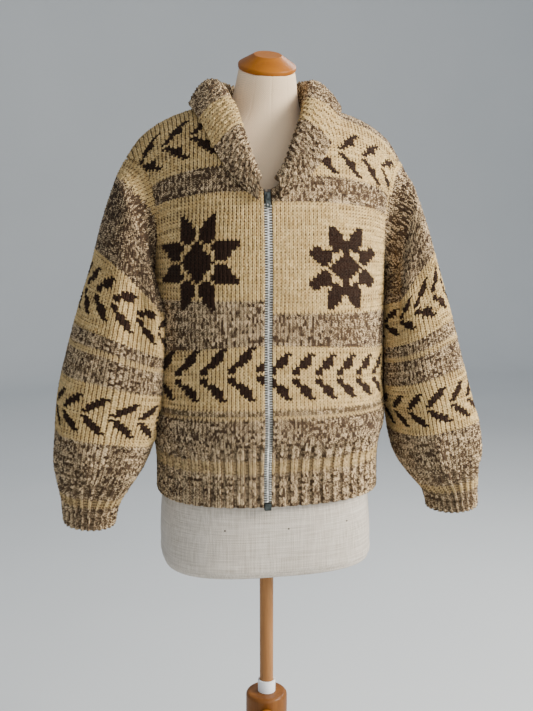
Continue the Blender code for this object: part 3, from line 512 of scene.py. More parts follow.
def body_ring(height):
    """Outline of the body at one height, its arc length, and the arcs of the zip and side seams."""
    key = round(height, 6)
    if key not in ring_store:
        outline = superellipse(RING_ANGLES, *smooth_row(BODY_RINGS, height))
        steps = np.linalg.norm(np.diff(outline, axis=0), axis=1)
        arc = np.concatenate(((0.0,), np.cumsum(steps)))
        front = np.abs(RING_ANGLES) <= math.pi / 2
        zip_arc = np.interp(ZIP_X, outline[front, 0], arc[front])
        left, right = np.interp((-math.pi / 2, math.pi / 2), RING_ANGLES, arc) - SEAM_SHIFT
        ring_store[key] = (outline, arc, zip_arc, left, right)
    return ring_store[key]


def panel_span(panel, height):
    """Arc lengths at which a panel's columns start and end."""
    _, arc, zip_arc, left, right = body_ring(height)
    if panel == "front_left":
        return zip_arc - ZIP_EDGE, left
    if panel == "front_right":
        return zip_arc + ZIP_EDGE, right
    middle = (right + arc[-1] + left) / 2
    return middle, (right if panel == "back_right" else left + arc[-1])


def panel_width(panel):
    start, end = panel_span(panel, UNDERARM_Z)
    return abs(end - start)


def ring_point(panel, column, height):
    """Point of a panel below the underarm; column runs from 0 at its middle edge to 1 at the side."""
    outline, arc, *_ = body_ring(height)
    start, end = panel_span(panel, height)
    place = (start + (end - start) * column) % arc[-1]
    return np.array((np.interp(place, arc, outline[:, 0]), np.interp(place, arc, outline[:, 1]), height))


def tip_column(panel):
    return 1.0 - TIP_INSET / panel_width(panel)


def shoulder_point(panel, column):
    """Point of the shoulder line where a column ends."""
    side = 1.0 if panel.endswith("right") else -1.0
    share = column / tip_column(panel)
    half_width, height = smooth_row(SHOULDER_LINE, share)
    pull = ZIP_X * max(1.0 - share, 0.0) ** 3.5
    edge = side * ZIP_EDGE * max(1.0 - share, 0.0)
    return np.array((side * half_width + edge + pull, SHOULDER_Y, height))


def cloth_point(panel, column, level):
    """Outer face of the cloth; level is a height up to the underarm, and beyond it the yoke's length."""
    if level <= UNDERARM_Z:
        return ring_point(panel, column, level)
    base = ring_point(panel, column, UNDERARM_Z)
    top = shoulder_point(panel, column)
    up = np.array((0.0, 0.0, RISE * (top[2] - base[2])))
    over = np.array((0.0, REACH * (top[1] - base[1]), 0.0))
    return hermite(base, top, up, over, (level - UNDERARM_Z) / YOKE)


def armhole_column(panel, level):
    """The column at which the armhole cuts a panel, for an array of levels."""
    rise = np.maximum(level - UNDERARM_Z, 0.0) / YOKE
    inside = np.clip(rise / ARMHOLE_CURVE, 0.0, 1.0)
    curved = ARMHOLE_DEPTH * np.sqrt(1.0 - (1.0 - inside) ** 2)
    back_out = np.clip((rise - ARMHOLE_CURVE) / (1.0 - ARMHOLE_CURVE), 0.0, 1.0)
    ease = (1.0 - np.cos(math.pi * back_out)) / 2
    lost = np.where(rise < ARMHOLE_CURVE, curved, ARMHOLE_DEPTH + (TIP_INSET - ARMHOLE_DEPTH) * ease)
    return 1.0 - lost / panel_width(panel)


def neck_column(panel, level):
    """The column at which the neck cuts a front above the top of the zip."""
    share = ((level - UNDERARM_Z) / YOKE - ZIP_SHARE) / (1.0 - ZIP_SHARE)
    return NECK_SHARE * tip_column(panel) * np.maximum(share, 0.0) ** NECK_CURVE


def back_neck_level(panel, column, level):
    """Lowers the top of the back between the neck points."""
    neck = NECK_SHARE * tip_column(panel)
    drop = BACK_NECK_DROP * np.sqrt(1.0 - np.clip(column / neck, 0.0, 1.0) ** 2)
    return np.where(level > UNDERARM_Z, UNDERARM_Z + (level - UNDERARM_Z) * (1.0 - drop), level)


def surface(points, across, along, outward):
    """Cloth surface between sampled points: gives places and normals for arrays of coordinates."""
    normals = unit(np.cross(np.gradient(points, axis=1), np.gradient(points, axis=0)))
    if (normals * outward(points)).sum() < 0:
        normals = -normals

    def at(u, v):
        column = np.clip(np.searchsorted(across, u, side="right") - 1, 0, len(across) - 2)
        row = np.clip(np.searchsorted(along, v, side="right") - 1, 0, len(along) - 2)
        right = np.clip((u - across[column]) / (across[column + 1] - across[column]), 0, 1)[..., None]
        up = np.clip((v - along[row]) / (along[row + 1] - along[row]), 0, 1)[..., None]
        return [(grid[row, column] * (1 - right) + grid[row, column + 1] * right) * (1 - up)
                + (grid[row + 1, column] * (1 - right) + grid[row + 1, column + 1] * right) * up
                for grid in (points, normals)]

    return at


# One stocking stitch is a V: its two legs spread as they rise. Each row gives where the four lines of
# the stitch lie across it, and how high they stand.
STITCH_LINES = {
    "knit": ((0.12, (0.00, 0.32, 0.50, 0.68), (-1.00, 0.50, 0.30, 0.50)),
             (0.78, (0.00, 0.20, 0.50, 0.80), (-0.35, 0.95, -0.35, 0.95))),
    "purl": ((0.25, (0.00, 0.25, 0.50, 0.75), (0.10, 0.75, 0.95, 0.75)),
             (0.75, (0.00, 0.25, 0.50, 0.75), (0.20, -0.45, -0.65, -0.45))),
    "bump": ((0.25, (0.00, 0.25, 0.50, 0.75), (-0.10, 0.95, 1.30, 0.95)),
             (0.75, (0.00, 0.25, 0.50, 0.75), (-0.50, 0.10, 0.30, 0.10))),
    "dip": ((0.25, (0.00, 0.25, 0.50, 0.75), (0.10, -0.60, -0.90, -0.60)),
            (0.75, (0.00, 0.25, 0.50, 0.75), (0.30, -0.30, -0.60, -0.30))),
}
RELIEF = 0.0019            # height of a leg above the cloth's middle face
RIB_DEPTH = 0.0036         # how far the purl columns of a rib fall back
EDGE_HEIGHT = -0.3         # height of a stitch's lines at a cut or cast-off edge, in reliefs
INNER_SHARE = 0.75         # where the inner face lies in the wall
STITCH_JITTER, STITCH_WANDER = 0.04, 0.34    # unevenness across, in stitches: quick and slow
HEIGHT_JITTER = 0.22       # unevenness of the legs' height, in reliefs
dice = np.random.default_rng(7)


def yarn_noise(columns, rows, reach):
    """Slow unevenness of the yarn: it changes along a row and jumps from row to row."""
    raw = dice.random((rows, columns + 4 * reach))
    weights = np.hanning(2 * reach + 1)
    smooth = np.array([np.convolve(row, weights / weights.sum(), "same") for row in raw])
    smooth = smooth[:, 2 * reach:2 * reach + columns]
    return np.clip((smooth - 0.5) * 2.2 * math.sqrt(reach) / 1.6 + 0.5, 0, 1)


def stitch_grid(columns, rows, kind):
    """Coordinates and heights of the lines of a block of stitches; kind names each stitch's form."""
    across = np.zeros((2 * rows, 4 * columns + 1))
    along, high = np.zeros_like(across), np.zeros_like(across)
    names = list(STITCH_LINES)
    for half in (0, 1):
        lines = {name: STITCH_LINES[name][half] for name in names}
        for corner in range(4):
            for number, name in enumerate(names):
                up, places, heights = lines[name]
                here = kind == number
                across[half::2, corner:-1:4] += here * places[corner]
                along[half::2, corner:-1:4] += here * up
                high[half::2, corner:-1:4] += here * heights[corner]
    across[:, :-1] += np.repeat(np.arange(columns), 4)[None, :]
    along[:, :-1] += np.repeat(np.arange(rows), 2)[:, None]
    across[:, -1] = columns
    across[:, 1:-1] += dice.normal(0, STITCH_JITTER, across[:, 1:-1].shape)
    wander = yarn_noise(columns, 2 * rows, 7).repeat(4, axis=1) - 0.5
    across[:, 1:-1] += STITCH_WANDER * wander[:, 1:]
    high += dice.normal(0, HEIGHT_JITTER, high.shape)
    along[:, -1], high[:, -1] = along[:, 0], high[:, 0]
    ends = [np.full((1, 4 * columns + 1), value) for value in (0.0, float(rows))]
    line = np.linspace(0, columns, 4 * columns + 1)[None, :]
    across = np.concatenate((line, across, line))
    along = np.concatenate((ends[0], along, ends[1]))
    edge = np.full_like(line, EDGE_HEIGHT)
    high = np.concatenate((edge, high, edge))
    return across, along, high


def stitch_colours(columns, rows, dark, marl, browner=0.0):
    """Per stitch: dark yarn, marled yarn, and the yarn's own unevenness plus browner, which at the top of
    the left sleeve is partly painted shade.
    """
    drift = 0.7 * yarn_noise(columns, rows, 6) + 0.3 * yarn_noise(columns, rows, 1) + browner
    return np.stack((dark, marl, drift + 0 * marl), axis=-1).astype(float)


def face_stitches(columns, rows):
    """Which stitch each facet of the outer face belongs to, as (row, column) arrays."""
    line = np.arange(2 * rows + 1)
    row = np.clip((line - 1) // 2, 0, rows - 1)
    column = np.repeat(np.arange(columns), 4)
    row = np.repeat(row[:, None], 4 * columns, axis=1)
    rising = (line % 2 == 0)[:, None] & np.isin(np.arange(4 * columns) % 4, (1, 2))[None, :]
    row = np.where(rising, np.clip(row + 1, 0, rows - 1), row)
    row[0] = 0
    return row, np.repeat(column[None, :], 2 * rows + 1, axis=0)


class Knitting:
    """Gathers the corners, facets and yarns of one piece of knitting."""

    def __init__(self):
        self.points, self.stitches, self.faces, self.yarns = [], [], [], []
        self.count = 0

    def add_points(self, points, stitches):
        shape = points.shape[:2]
        self.points.append(points.reshape(-1, 3))
        self.stitches.append(stitches.reshape(-1, 3))
        numbers = self.count + np.arange(shape[0] * shape[1]).reshape(shape)
        self.count += shape[0] * shape[1]
        return numbers

    def add_grid(self, numbers, colours, flip):
        """Square facets of a grid of corners."""
        a, b, c, d = numbers[:-1, :-1], numbers[:-1, 1:], numbers[1:, 1:], numbers[1:, :-1]
        quads = np.stack((a, d, c, b) if flip else (a, b, c, d), axis=-1).reshape(-1, 4)
        self.faces += quads.tolist()
        self.yarns += colours.reshape(-1, 3).tolist()

    def add_rim(self, outer, inner, colours, flip):
        """Joins an edge of the outer face to the inner face, one facet for each stitch."""
        step = (len(outer) - 1) // (len(inner) - 1)
        marks = [*range(0, step * (len(inner) - 1), step), len(outer) - 1]
        for place in range(len(inner) - 1):
            corners = [*outer[marks[place]:marks[place + 1] + 1], inner[place + 1], inner[place]]
            self.faces.append([int(number) for number in (corners[::-1] if flip else corners)])
            self.yarns.append(colours[place])

    def piece(self, name, material):
        """The knitting as an object, with corners that meet joined into one."""
        mesh = bpy.data.meshes.new(name)
        mesh.from_pydata(np.concatenate(self.points).tolist(), [], self.faces)
        stitch = mesh.attributes.new("stitch", "FLOAT_VECTOR", "POINT")
        stitch.data.foreach_set("vector", np.concatenate(self.stitches).ravel())
        yarn = mesh.attributes.new("yarn", "FLOAT_COLOR", "FACE")
        yarns = np.column_stack((np.array(self.yarns), np.ones(len(self.yarns))))
        yarn.data.foreach_set("color", yarns.ravel())
        bm = bmesh.new()
        bm.from_mesh(mesh)
        bmesh.ops.remove_doubles(bm, verts=bm.verts, dist=0.00002)
        bm.to_mesh(mesh)
        bm.free()
        mesh.shade_smooth()
        mesh.materials.append(material)
        piece = bpy.data.objects.new(name, mesh)
        bpy.context.scene.collection.objects.link(piece)
        return piece


def knit_block(work, at, fold, columns, rows, kind, colours, limits=None, flip=False, wall=WALL,
               deepest=0.0068, first=0.0):
    """Adds a block of stitches to a piece: relief outside, plain cloth inside. Gives back its edges."""
    across, along, high = stitch_grid(columns, rows, kind)
    inner_across, inner_along = np.meshgrid(np.arange(columns + 1.0), np.arange(rows + 1.0))
    if limits:
        for grid in ((across, along), (inner_across, inner_along)):
            low, top = limits(grid[1] + first)
            outside = (grid[0] <= low) | (grid[0] >= top)
            grid[0][:] = np.clip(grid[0], low, top)
            if grid[0] is across:
                high[outside] = EDGE_HEIGHT
    ribbed = np.repeat(np.repeat(kind == 1, 2, axis=0), 4, axis=1)
    ribbed = np.pad(ribbed, ((1, 1), (0, 1)), mode="edge")
    points, normals = at(across, along + first)
    lift = high * RELIEF - ribbed * RIB_DEPTH + fold(across, along + first)
    stitches = np.stack((across, along + first, ribbed.astype(float)), axis=-1)
    outer = work.add_points(points + normals * lift[..., None], stitches)
    points, normals = at(inner_across, inner_along + first)
    sunk = np.minimum(wall * INNER_SHARE - fold(inner_across, inner_along + first), deepest)
    inner = work.add_points(points - normals * sunk[..., None],
                            np.stack((inner_across, inner_along + first, 0 * inner_across), axis=-1))
    row, column = face_stitches(columns, rows)
    work.add_grid(outer, colours[row, column], flip)
    work.add_grid(inner, colours, not flip)
    return outer, inner


def close_edges(work, outer, inner, colours, flip, sides=("first", "last", "start", "end")):
    """Rims along the edges of a block: first and last row, start and end column."""
    if "first" in sides:
        work.add_rim(outer[0], inner[0], colours[0], not flip)
    if "last" in sides:
        work.add_rim(outer[-1], inner[-1], colours[-1], flip)
    for name, place, turned_over in (("start", 0, flip), ("end", -1, not flip)):
        if name in sides:
            work.add_rim(outer[:, place], inner[:, place], colours[:, place], turned_over)


def chevrons(columns, rows, middle, half_height, turn, spacing=7, start=0):
    """Rows of arrowheads that all point one way: two slanting arms, parted where they meet."""
    off = np.abs(np.arange(rows)[:, None] - middle)
    arm = np.floor((off - 0.6) * (spacing - 1.8) / (half_height - 1))
    place = (turn * np.arange(columns)[None, :] + start - arm) % spacing
    thick = np.where((off <= 2) | (off > half_height - 2.5), 2, 3)
    return (off >= 1) & (off <= half_height) & (place < thick)


def star(columns, rows, centre_column, centre_row, half_width=10.0, half_height=14.0):
    """Eight pointed petals in four pairs round a diamond, with thin slivers of ground between."""
    x = (np.arange(columns)[None, :] + 0.5 - centre_column) / half_width
    y = (np.arange(rows)[:, None] + 0.5 - centre_row) / half_height
    reach, turn = np.hypot(x, y), np.degrees(np.arctan2(y, x))
    petal = np.abs((turn % 45) - 22.5)
    width = np.interp(reach, (0.44, 0.50, 0.66, 1.12), (12.0, 20.5, 19.0, 1.5))
    petals = (reach > 0.46) & (reach < 1.12) & (petal < width)
    diamond = np.abs(x) + np.abs(y) < 0.46
    return petals | diamond


def bands(rows, table):
    """How marled each row's yarn is, from (first row, row after the last, how marled) rows."""
    marl = np.zeros(rows)
    for low, top, strength in table:
        marl[low:top] = strength
    return marl[:, None]


def wool(name):
    """Thick soft-spun yarn. A stitch's legs are read from its coordinates, its yarn from its colour.
    Shade is painted into the hollows beside the legs, the gaps between wales and between purl bumps,
    the ply's grooves and the sunk purl stitches.
    """
    yarn = Recipe(name, Sheen_Weight=0.07, Sheen_Roughness=0.5, Sheen_Tint=(0.9, 0.72, 0.5),
                  Specular_IOR_Level=0.15)
    stitch = yarn.node("ShaderNodeAttribute", {"attribute_name": "stitch"}, output=1)
    parts = yarn.node("ShaderNodeSeparateXYZ", None, {0: stitch}).socket.node.outputs
    across, along, purl = (Tone(yarn, parts[number]) for number in range(3))
    kinds = yarn.node("ShaderNodeAttribute", {"attribute_name": "yarn"})
    parts = yarn.node("ShaderNodeSeparateColor", None, {0: kinds}).socket.node.outputs
    dark, marl, drift = (Tone(yarn, parts[number]) for number in range(3))
    inside = across.maths("FRACT") - 0.5
    from_middle = inside.maths("ABSOLUTE") * 2
    rise = (along - 0.12).maths("FRACT")
    leg = rise.within(0.0, 0.9) * 0.42 + 0.28
    off_leg = (from_middle - leg).maths("ABSOLUTE")
    place_in_cloth = yarn.node("ShaderNodeCombineXYZ", None,
                               {0: (across * 2).maths("FLOOR"), 1: (along - 0.12).maths("FLOOR")})
    spun = yarn.node("ShaderNodeTexWhiteNoise", {"noise_dimensions": "2D"}, {"Vector": place_in_cloth})
    body_place = yarn.place()
    fuzz = yarn.noise(body_place, 700.0, 3.0, 0.6)
    tuft = yarn.noise(body_place, 210.0, 2.0)
    twist = along * 1.5 + from_middle * 1.1 + inside.maths("SIGN") * 0.2 + spun * 1.4 + tuft * 0.5
    twist = twist * math.tau
    ply = twist.maths("SINE") * 0.5 + 0.5
    outer_side = from_middle.within(0.35, 0.65)
    # Painted shade: masks of the hollows beside each leg, the gaps between wales and between purl bumps.
    hollow_shade_mask = off_leg.within(0.18, 0.38) * (outer_side * 0.65 + 0.35) * (1 - purl * 0.7)
    hollow_shade_mask = hollow_shade_mask * (tuft * 1.7 + 0.28)
    wale_gap_shade = from_middle.within(0.66, 0.98) * (tuft * 1.1 + 0.10)
    hollow_shade_mask = (hollow_shade_mask * 0.9).maths("MAXIMUM", wale_gap_shade)
    purl_gap_shade = ((along - 0.25).maths("FRACT") - 0.5).maths("ABSOLUTE").within(0.22, 0.05) * purl
    hollow_shade_mask = hollow_shade_mask.maths("MAXIMUM", purl_gap_shade)
    cream_tone = (tuft * 0.5 + spun * 0.5).within(0.2, 0.8)
    cream = yarn.mix(cream_tone, (0.66, 0.440, 0.175), (0.93, 0.680, 0.315))
    # Painted shade in the grooves of the ply twist.
    cream = yarn.mix(ply.within(0.5, 0.0) * 0.35, cream, (0.50, 0.33, 0.145))
    speck = yarn.noise(body_place, 120.0, 1.0).within(0.70, 0.76) * fuzz.within(0.45, 0.6)
    cream = yarn.mix(speck * 0.45, cream, (0.22, 0.13, 0.06))
    brown = yarn.mix(tuft.within(0.3, 0.7), (0.038, 0.022, 0.014), (0.098, 0.062, 0.040))
    pale = yarn.mix(tuft.within(0.25, 0.75), (0.74, 0.535, 0.30), (0.93, 0.71, 0.43))
    share = (ply * 0.50 + spun * 0.62 + drift * 0.27 + fuzz * 0.1 - 0.17).within(0.45, 0.54)
    marled = yarn.mix(share, pale, brown)
    deep_tone = (tuft * 0.6 + ply * 0.3).within(0.2, 0.8)
    deep = yarn.mix(deep_tone, (0.016, 0.007, 0.004), (0.052, 0.024, 0.014))
    colour = yarn.mix(marl, cream, marled)
    colour = yarn.mix(dark, colour, deep)
    shade = yarn.mix(dark, (0.115, 0.068, 0.032), (0.012, 0.006, 0.004))
    # The hollows and gaps are darkened towards the painted shade colour.
    colour = yarn.mix(hollow_shade_mask * 0.9, colour, shade)
    # Painted shade on the purl stitches, which sit back from the knit ones.
    colour = yarn.mix(purl * 0.36, colour, (0.105, 0.070, 0.042))
    height = (1 - hollow_shade_mask) * 0.6 + ply * 0.35 + fuzz * 0.45 + tuft * 0.3
    return yarn.finish(colour, fuzz * 0.12 + 0.82, height, 0.0015, 0.9)


knitted_wool = wool("knitted_wool")
STITCH_WIDTH, ROW_HEIGHT = 0.0061, 0.0048
HALF_SEAM = 0.00018        # from an armhole's edge to the middle of its seam
RIB_ROWS = 20
RIB_PALER = 0.45           # the rib's marled yarn has this much less brown
# first row, row after the last, how marled
BODY_BANDS = ((0, 11, 1), (11, 15, 0.45), (15, 29, 1), (29, 30, 0.3), (30, 32, 0.9))
SAMPLE_LEVELS = np.concatenate((np.linspace(HEM_Z, UNDERARM_Z, 44)[:-1],
                                UNDERARM_Z + YOKE * np.linspace(0, 1, 44)))
# Rows are counted by length along one column of the left front, because the yoke leans.
guide = np.array([cloth_point("front_left", 0.42, level) for level in SAMPLE_LEVELS])
SAMPLE_ROWS = np.concatenate(((0.0,), np.cumsum(np.linalg.norm(np.diff(guide, axis=0), axis=1))))
ROWS = round(SAMPLE_ROWS[-1] / ROW_HEIGHT)
SAMPLE_ROWS *= ROWS / SAMPLE_ROWS[-1]

# Soft creases of the body: panel, column from the middle edge, row, reach across and along, slant
# (columns for each row), height
BODY_CREASES = (
    ("front_left", 33, 74, 3.0, 22, 0.02, -0.0035),
    ("front_left", 27, 58, 4.0, 16, 0.10, 0.0022),
    ("front_left", 15, 40, 5.0, 14, -0.12, -0.0016),
    ("front_left", 30, 30, 5.0, 12, 0.16, -0.0024),
    ("front_left", 8, 24, 5.0, 8, 0.30, 0.0018),
    ("front_left", 20, 100, 5.0, 14, 0.22, -0.0018),
    ("front_right", 40, 76, 3.0, 20, -0.02, -0.0034),
    ("front_right", 33, 60, 4.5, 18, 0.06, 0.0022),
    ("front_right", 20, 44, 6.0, 12, -0.14, -0.0016),
    ("front_right", 36, 30, 5.0, 12, 0.12, -0.0024),
    ("front_right", 12, 26, 5.0, 8, -0.25, 0.0018),
    ("front_right", 24, 102, 5.0, 14, 0.22, -0.0018),
    ("back_left", 30, 70, 4.0, 26, 0.03, -0.0035),
    ("back_left", 14, 40, 6.0, 16, 0.10, -0.0024),
    ("back_left", 24, 34, 5.0, 12, -0.10, 0.0024),
    ("back_right", 32, 66, 4.0, 24, -0.02, -0.0035),
    ("back_right", 16, 46, 6.0, 16, -0.12, -0.0022),
    ("back_right", 6, 30, 5.0, 10, 0.20, 0.0022),
)


def body_crease(panel, columns, rows):
    """How far the soft creases and the fullness above the rib lift a panel's cloth."""
    lift = 0.0 * columns
    for name, column, row, across, along, slant, height in BODY_CREASES:
        if name == panel:
            side = columns - column - slant * (rows - row)
            lift = lift + height * np.exp(-(side / across) ** 2 - ((rows - row) / along) ** 2)
    fullness = np.exp(-((rows - RIB_ROWS - 5) / 4.5) ** 2) * 0.0016
    gathers = 1 + 0.5 * np.sin(columns * 0.9) + 0.4 * np.sin(columns * 0.37 + 1.0)
    return lift + fullness * gathers - 0.0012 * (rows < RIB_ROWS)


def sag(share, rows):
    """Rows by which the waist of a panel hangs lower towards its side seam."""
    deepest, middle_row, reach, top_row, fade = 5.0, 48, 14, 72, 12
    depth = deepest * np.exp(-((rows - middle_row) / reach) ** 2)
    return depth * np.clip((top_row - rows) / fade, 0, 1) * np.clip(share, 0, 1) ** 1.3


def rib_kinds(columns, rows, rib_rows, knit, purl, start):
    """Stocking stitch with a rib of knit and purl columns at its lower end."""
    kinds = np.zeros((rows, columns), int)
    kinds[:rib_rows, (np.arange(columns) + start) % (knit + purl) >= knit] = 1
    return kinds


def charted_area(limits):
    """Area of the stitches that a panel's chart keeps."""
    start, end = limits(np.arange(ROWS) + 0.5)
    return float((end - start).sum()) * ROW_HEIGHT * STITCH_WIDTH


def dress_panel(piece, node, area):
    """Hides the part that a knitted piece replaces and makes the piece move with the dressed form. The
    area is not used.
    """
    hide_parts(node)
    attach(piece, "dressed_form")


# hand, way the arrowheads point, star, arrowheads at the waist, middle row of those on the yoke,
# marled bands, more brown
for hand, turn, star_place, waist_arrows, yoke_middle, upper_bands, browner in (
        ("left", -1, (16.5, 77.5), (43, 8.6, -1, 7, 1), 117, ((52, 66, 1), (98, 106, 1)), 0.0),
        ("right", 1, (19.0, 75.5, 10.0, 12.5), (42, 7.7, 1, 6, 1), 111,
         ((52, 62, 1), (95, 103, 1), (125, 140, 1)), 0.20)):
    panel = "front_" + hand
    panel_columns = round(panel_width(panel) / STITCH_WIDTH)
    shares = np.linspace(0.0, 1.0, 22)
    sampled = np.array([[cloth_point(panel, share, level) for share in shares]
                        for level in SAMPLE_LEVELS])
    face = surface(sampled, shares * panel_columns, SAMPLE_ROWS, lambda points: points - CLOTH_CENTRE)

    def front_limits(rows, panel=panel, panel_columns=panel_columns):
        levels = np.interp(rows, SAMPLE_ROWS, SAMPLE_LEVELS)
        return (neck_column(panel, levels) * panel_columns,
                (armhole_column(panel, levels) - HALF_SEAM / panel_width(panel)) * panel_columns)

    def front_hanging(columns, rows, face=face, panel_columns=panel_columns):
        return face(columns, rows - sag(columns / panel_columns, rows))

    def front_crease(columns, rows, panel=panel):
        return body_crease(panel, columns, rows)

    dark = star(panel_columns, ROWS, *star_place)
    dark |= chevrons(panel_columns, ROWS, *waist_arrows)
    dark |= chevrons(panel_columns, ROWS, yoke_middle, 7.2, turn, start=4)
    marl = bands(ROWS, BODY_BANDS + upper_bands) + 0 * dark
    colours = stitch_colours(panel_columns, ROWS, dark, marl, browner)
    colours[:RIB_ROWS, :, 2] -= RIB_PALER
    front = Knitting()
    edges = knit_block(front, front_hanging, front_crease, panel_columns, ROWS,
                       rib_kinds(panel_columns, ROWS, RIB_ROWS, 2, 1, 1), colours, front_limits, turn > 0)
    close_edges(front, *edges, colours, turn > 0)
    front_piece = front.piece("knitted_front_" + hand, knitted_wool)
    flat_front = (panel_width(panel), ROWS * ROW_HEIGHT)
    dress_panel(front_piece, panel, charted_area(front_limits))

back_columns = round(panel_width("back_left") / STITCH_WIDTH)
shares = np.linspace(0.0, 1.0, 20)
halves = []
for panel in ("back_left", "back_right"):
    halves.append([[cloth_point(panel, share, float(back_neck_level(panel, share, level)))
                    for share in shares] for level in SAMPLE_LEVELS])
sampled = np.concatenate((np.array(halves[0])[:, ::-1], np.array(halves[1])[:, 1:]), axis=1)
both_shares = np.concatenate((1 - shares[::-1], 1 + shares[1:]))
face = surface(sampled, both_shares * back_columns, SAMPLE_ROWS, lambda points: points - CLOTH_CENTRE)


def back_limits(rows):
    levels = np.interp(rows, SAMPLE_ROWS, SAMPLE_LEVELS)
    edge = armhole_column("back_left", levels) - HALF_SEAM / panel_width("back_left")
    return back_columns * (1 - edge), back_columns * (1 + edge)


def back_hanging(columns, rows):
    return face(columns, rows - sag(np.abs(columns / back_columns - 1), rows))


def back_crease(columns, rows):
    left = body_crease("back_left", back_columns - columns, rows) * (columns <= back_columns)
    return left + body_crease("back_right", columns - back_columns, rows) * (columns > back_columns)


# middle row, half height and start of the arrowheads; then the stars' row and place from the middle
back_waist, back_yoke, star_row, star_off = (42, 8.6, 3), (117, 7.2, 1), 78.5, 19.0
dark = np.zeros((ROWS, 2 * back_columns), bool)
for middle_row, half_height, start in (back_waist, back_yoke):
    dark |= chevrons(2 * back_columns, ROWS, middle_row, half_height, 1, start=start)
for star_column in (back_columns - star_off, back_columns + star_off):
    dark |= star(2 * back_columns, ROWS, star_column, star_row)
marl = bands(ROWS, BODY_BANDS + ((52, 65, 1), (98, 106, 1))) + 0 * dark
colours = stitch_colours(2 * back_columns, ROWS, dark, marl)
colours[:RIB_ROWS, :, 2] -= RIB_PALER
back = Knitting()
edges = knit_block(back, back_hanging, back_crease, 2 * back_columns, ROWS,
                   rib_kinds(2 * back_columns, ROWS, RIB_ROWS, 2, 1, 1), colours, back_limits, False)
close_edges(back, *edges, colours, False)
back_piece = back.piece("knitted_back", knitted_wool)
flat_back = (2 * panel_width("back_left"), ROWS * ROW_HEIGHT)
dress_panel(back_piece, "back", charted_area(back_limits))


# ------------------------------------------------------------------ sleeves
# Wide sleeves knitted in the round from the dropped armhole and gathered into ribbed cuffs. Their
# fullness hangs in soft folds under the arm, and blouses over the cuff.
ARMHOLE_GAP = 0.0007       # space round the armhole, where the two edges meet at an angle
ARMHOLE_TURN = 0.0040      # length over which a sleeve leaves the armhole straight
BODY_CLEAR = 0.0040        # space between the sleeve and the side of the body
# Each ring's outermost and innermost point, seen from the front
# along, outer right, outer left, outer z, inner right, inner left, inner z, half depth, centre y,
# squareness, lift of the left sleeve
SLEEVE_RINGS = (
    (0.040, 0.2290, 0.2350, 1.304, 0.1850, 0.1780, 1.140, 0.080, -0.006, 2.2, 0.000),
    (0.100, 0.2460, 0.2550, 1.248, 0.1800, 0.1700, 1.115, 0.088, -0.012, 2.4, 0.000),
    (0.172, 0.2650, 0.2740, 1.180, 0.1780, 0.1660, 1.078, 0.091, -0.018, 2.5, 0.000),
    (0.245, 0.2870, 0.2970, 1.110, 0.1780, 0.1660, 1.034, 0.090, -0.022, 2.5, 0.000),
    (0.308, 0.3050, 0.3140, 1.050, 0.1820, 0.1680, 0.990, 0.087, -0.024, 2.5, 0.002),
    (0.385, 0.3270, 0.3310, 0.978, 0.2000, 0.1750, 0.936, 0.083, -0.026, 2.4, 0.004),
    (0.445, 0.3430, 0.3370, 0.920, 0.2080, 0.1910, 0.890, 0.079, -0.028, 2.4, 0.006),
    (0.493, 0.3480, 0.3400, 0.873, 0.2210, 0.2080, 0.852, 0.073, -0.030, 2.3, 0.008),
    (0.530, 0.3490, 0.3370, 0.838, 0.2400, 0.2280, 0.822, 0.062, -0.032, 2.2, 0.009),
    (0.559, 0.3500, 0.3315, 0.809, 0.2610, 0.2430, 0.798, 0.052, -0.034, 2.1, 0.009),
    (0.581, 0.3520, 0.3300, 0.787, 0.2680, 0.2480, 0.779, 0.048, -0.035, 2.0, 0.009),
    (0.597, 0.3520, 0.3285, 0.771, 0.2700, 0.2510, 0.765, 0.047, -0.036, 2.0, 0.009),
)
# Largest folds of the sleeves: ridges (+) and troughs (-) that run down the tube
# side, angle, start, end, half angle, height
SLEEVE_FOLDS = (
    (-1, 128, 0.03, 0.30, 16, 0.0090),
    (-1, 98, 0.05, 0.29, 13, -0.0100),
    (-1, 248, 0.03, 0.27, 15, 0.0080),
    (-1, 60, 0.40, 0.57, 20, 0.0040),
    (-1, 118, 0.42, 0.57, 20, 0.0045),
    (-1, 215, 0.41, 0.57, 22, 0.0045),
    (1, 120, 0.02, 0.20, 15, 0.0070),
    (1, 84, 0.04, 0.24, 14, -0.0070),
    (1, 242, 0.03, 0.25, 15, 0.0080),
    (1, 48, 0.41, 0.57, 20, 0.0040),
    (1, 105, 0.40, 0.56, 20, 0.0045),
    (1, 225, 0.42, 0.57, 22, 0.0045),
)


def body_side(y, z):
    """Half width of the body's outer face at a depth y."""
    half_width, front, back, squareness = smooth_row(BODY_RINGS, z)
    share = min(abs(y) / (front if y < 0 else back), 1.0)
    return half_width * (1.0 - share ** squareness) ** (1.0 / squareness)


def fold_height(side, angle, along):
    """How far the folds lift the sleeve's surface."""
    total = 0.0
    for fold_side, centre, start, end, half_angle, height in SLEEVE_FOLDS:
        if fold_side == side and start < along < end:
            across = (math.degrees(angle) - centre) / half_angle
            total += height * math.exp(-across ** 2) * math.sin(math.pi * (along - start) / (end - start))
    return total


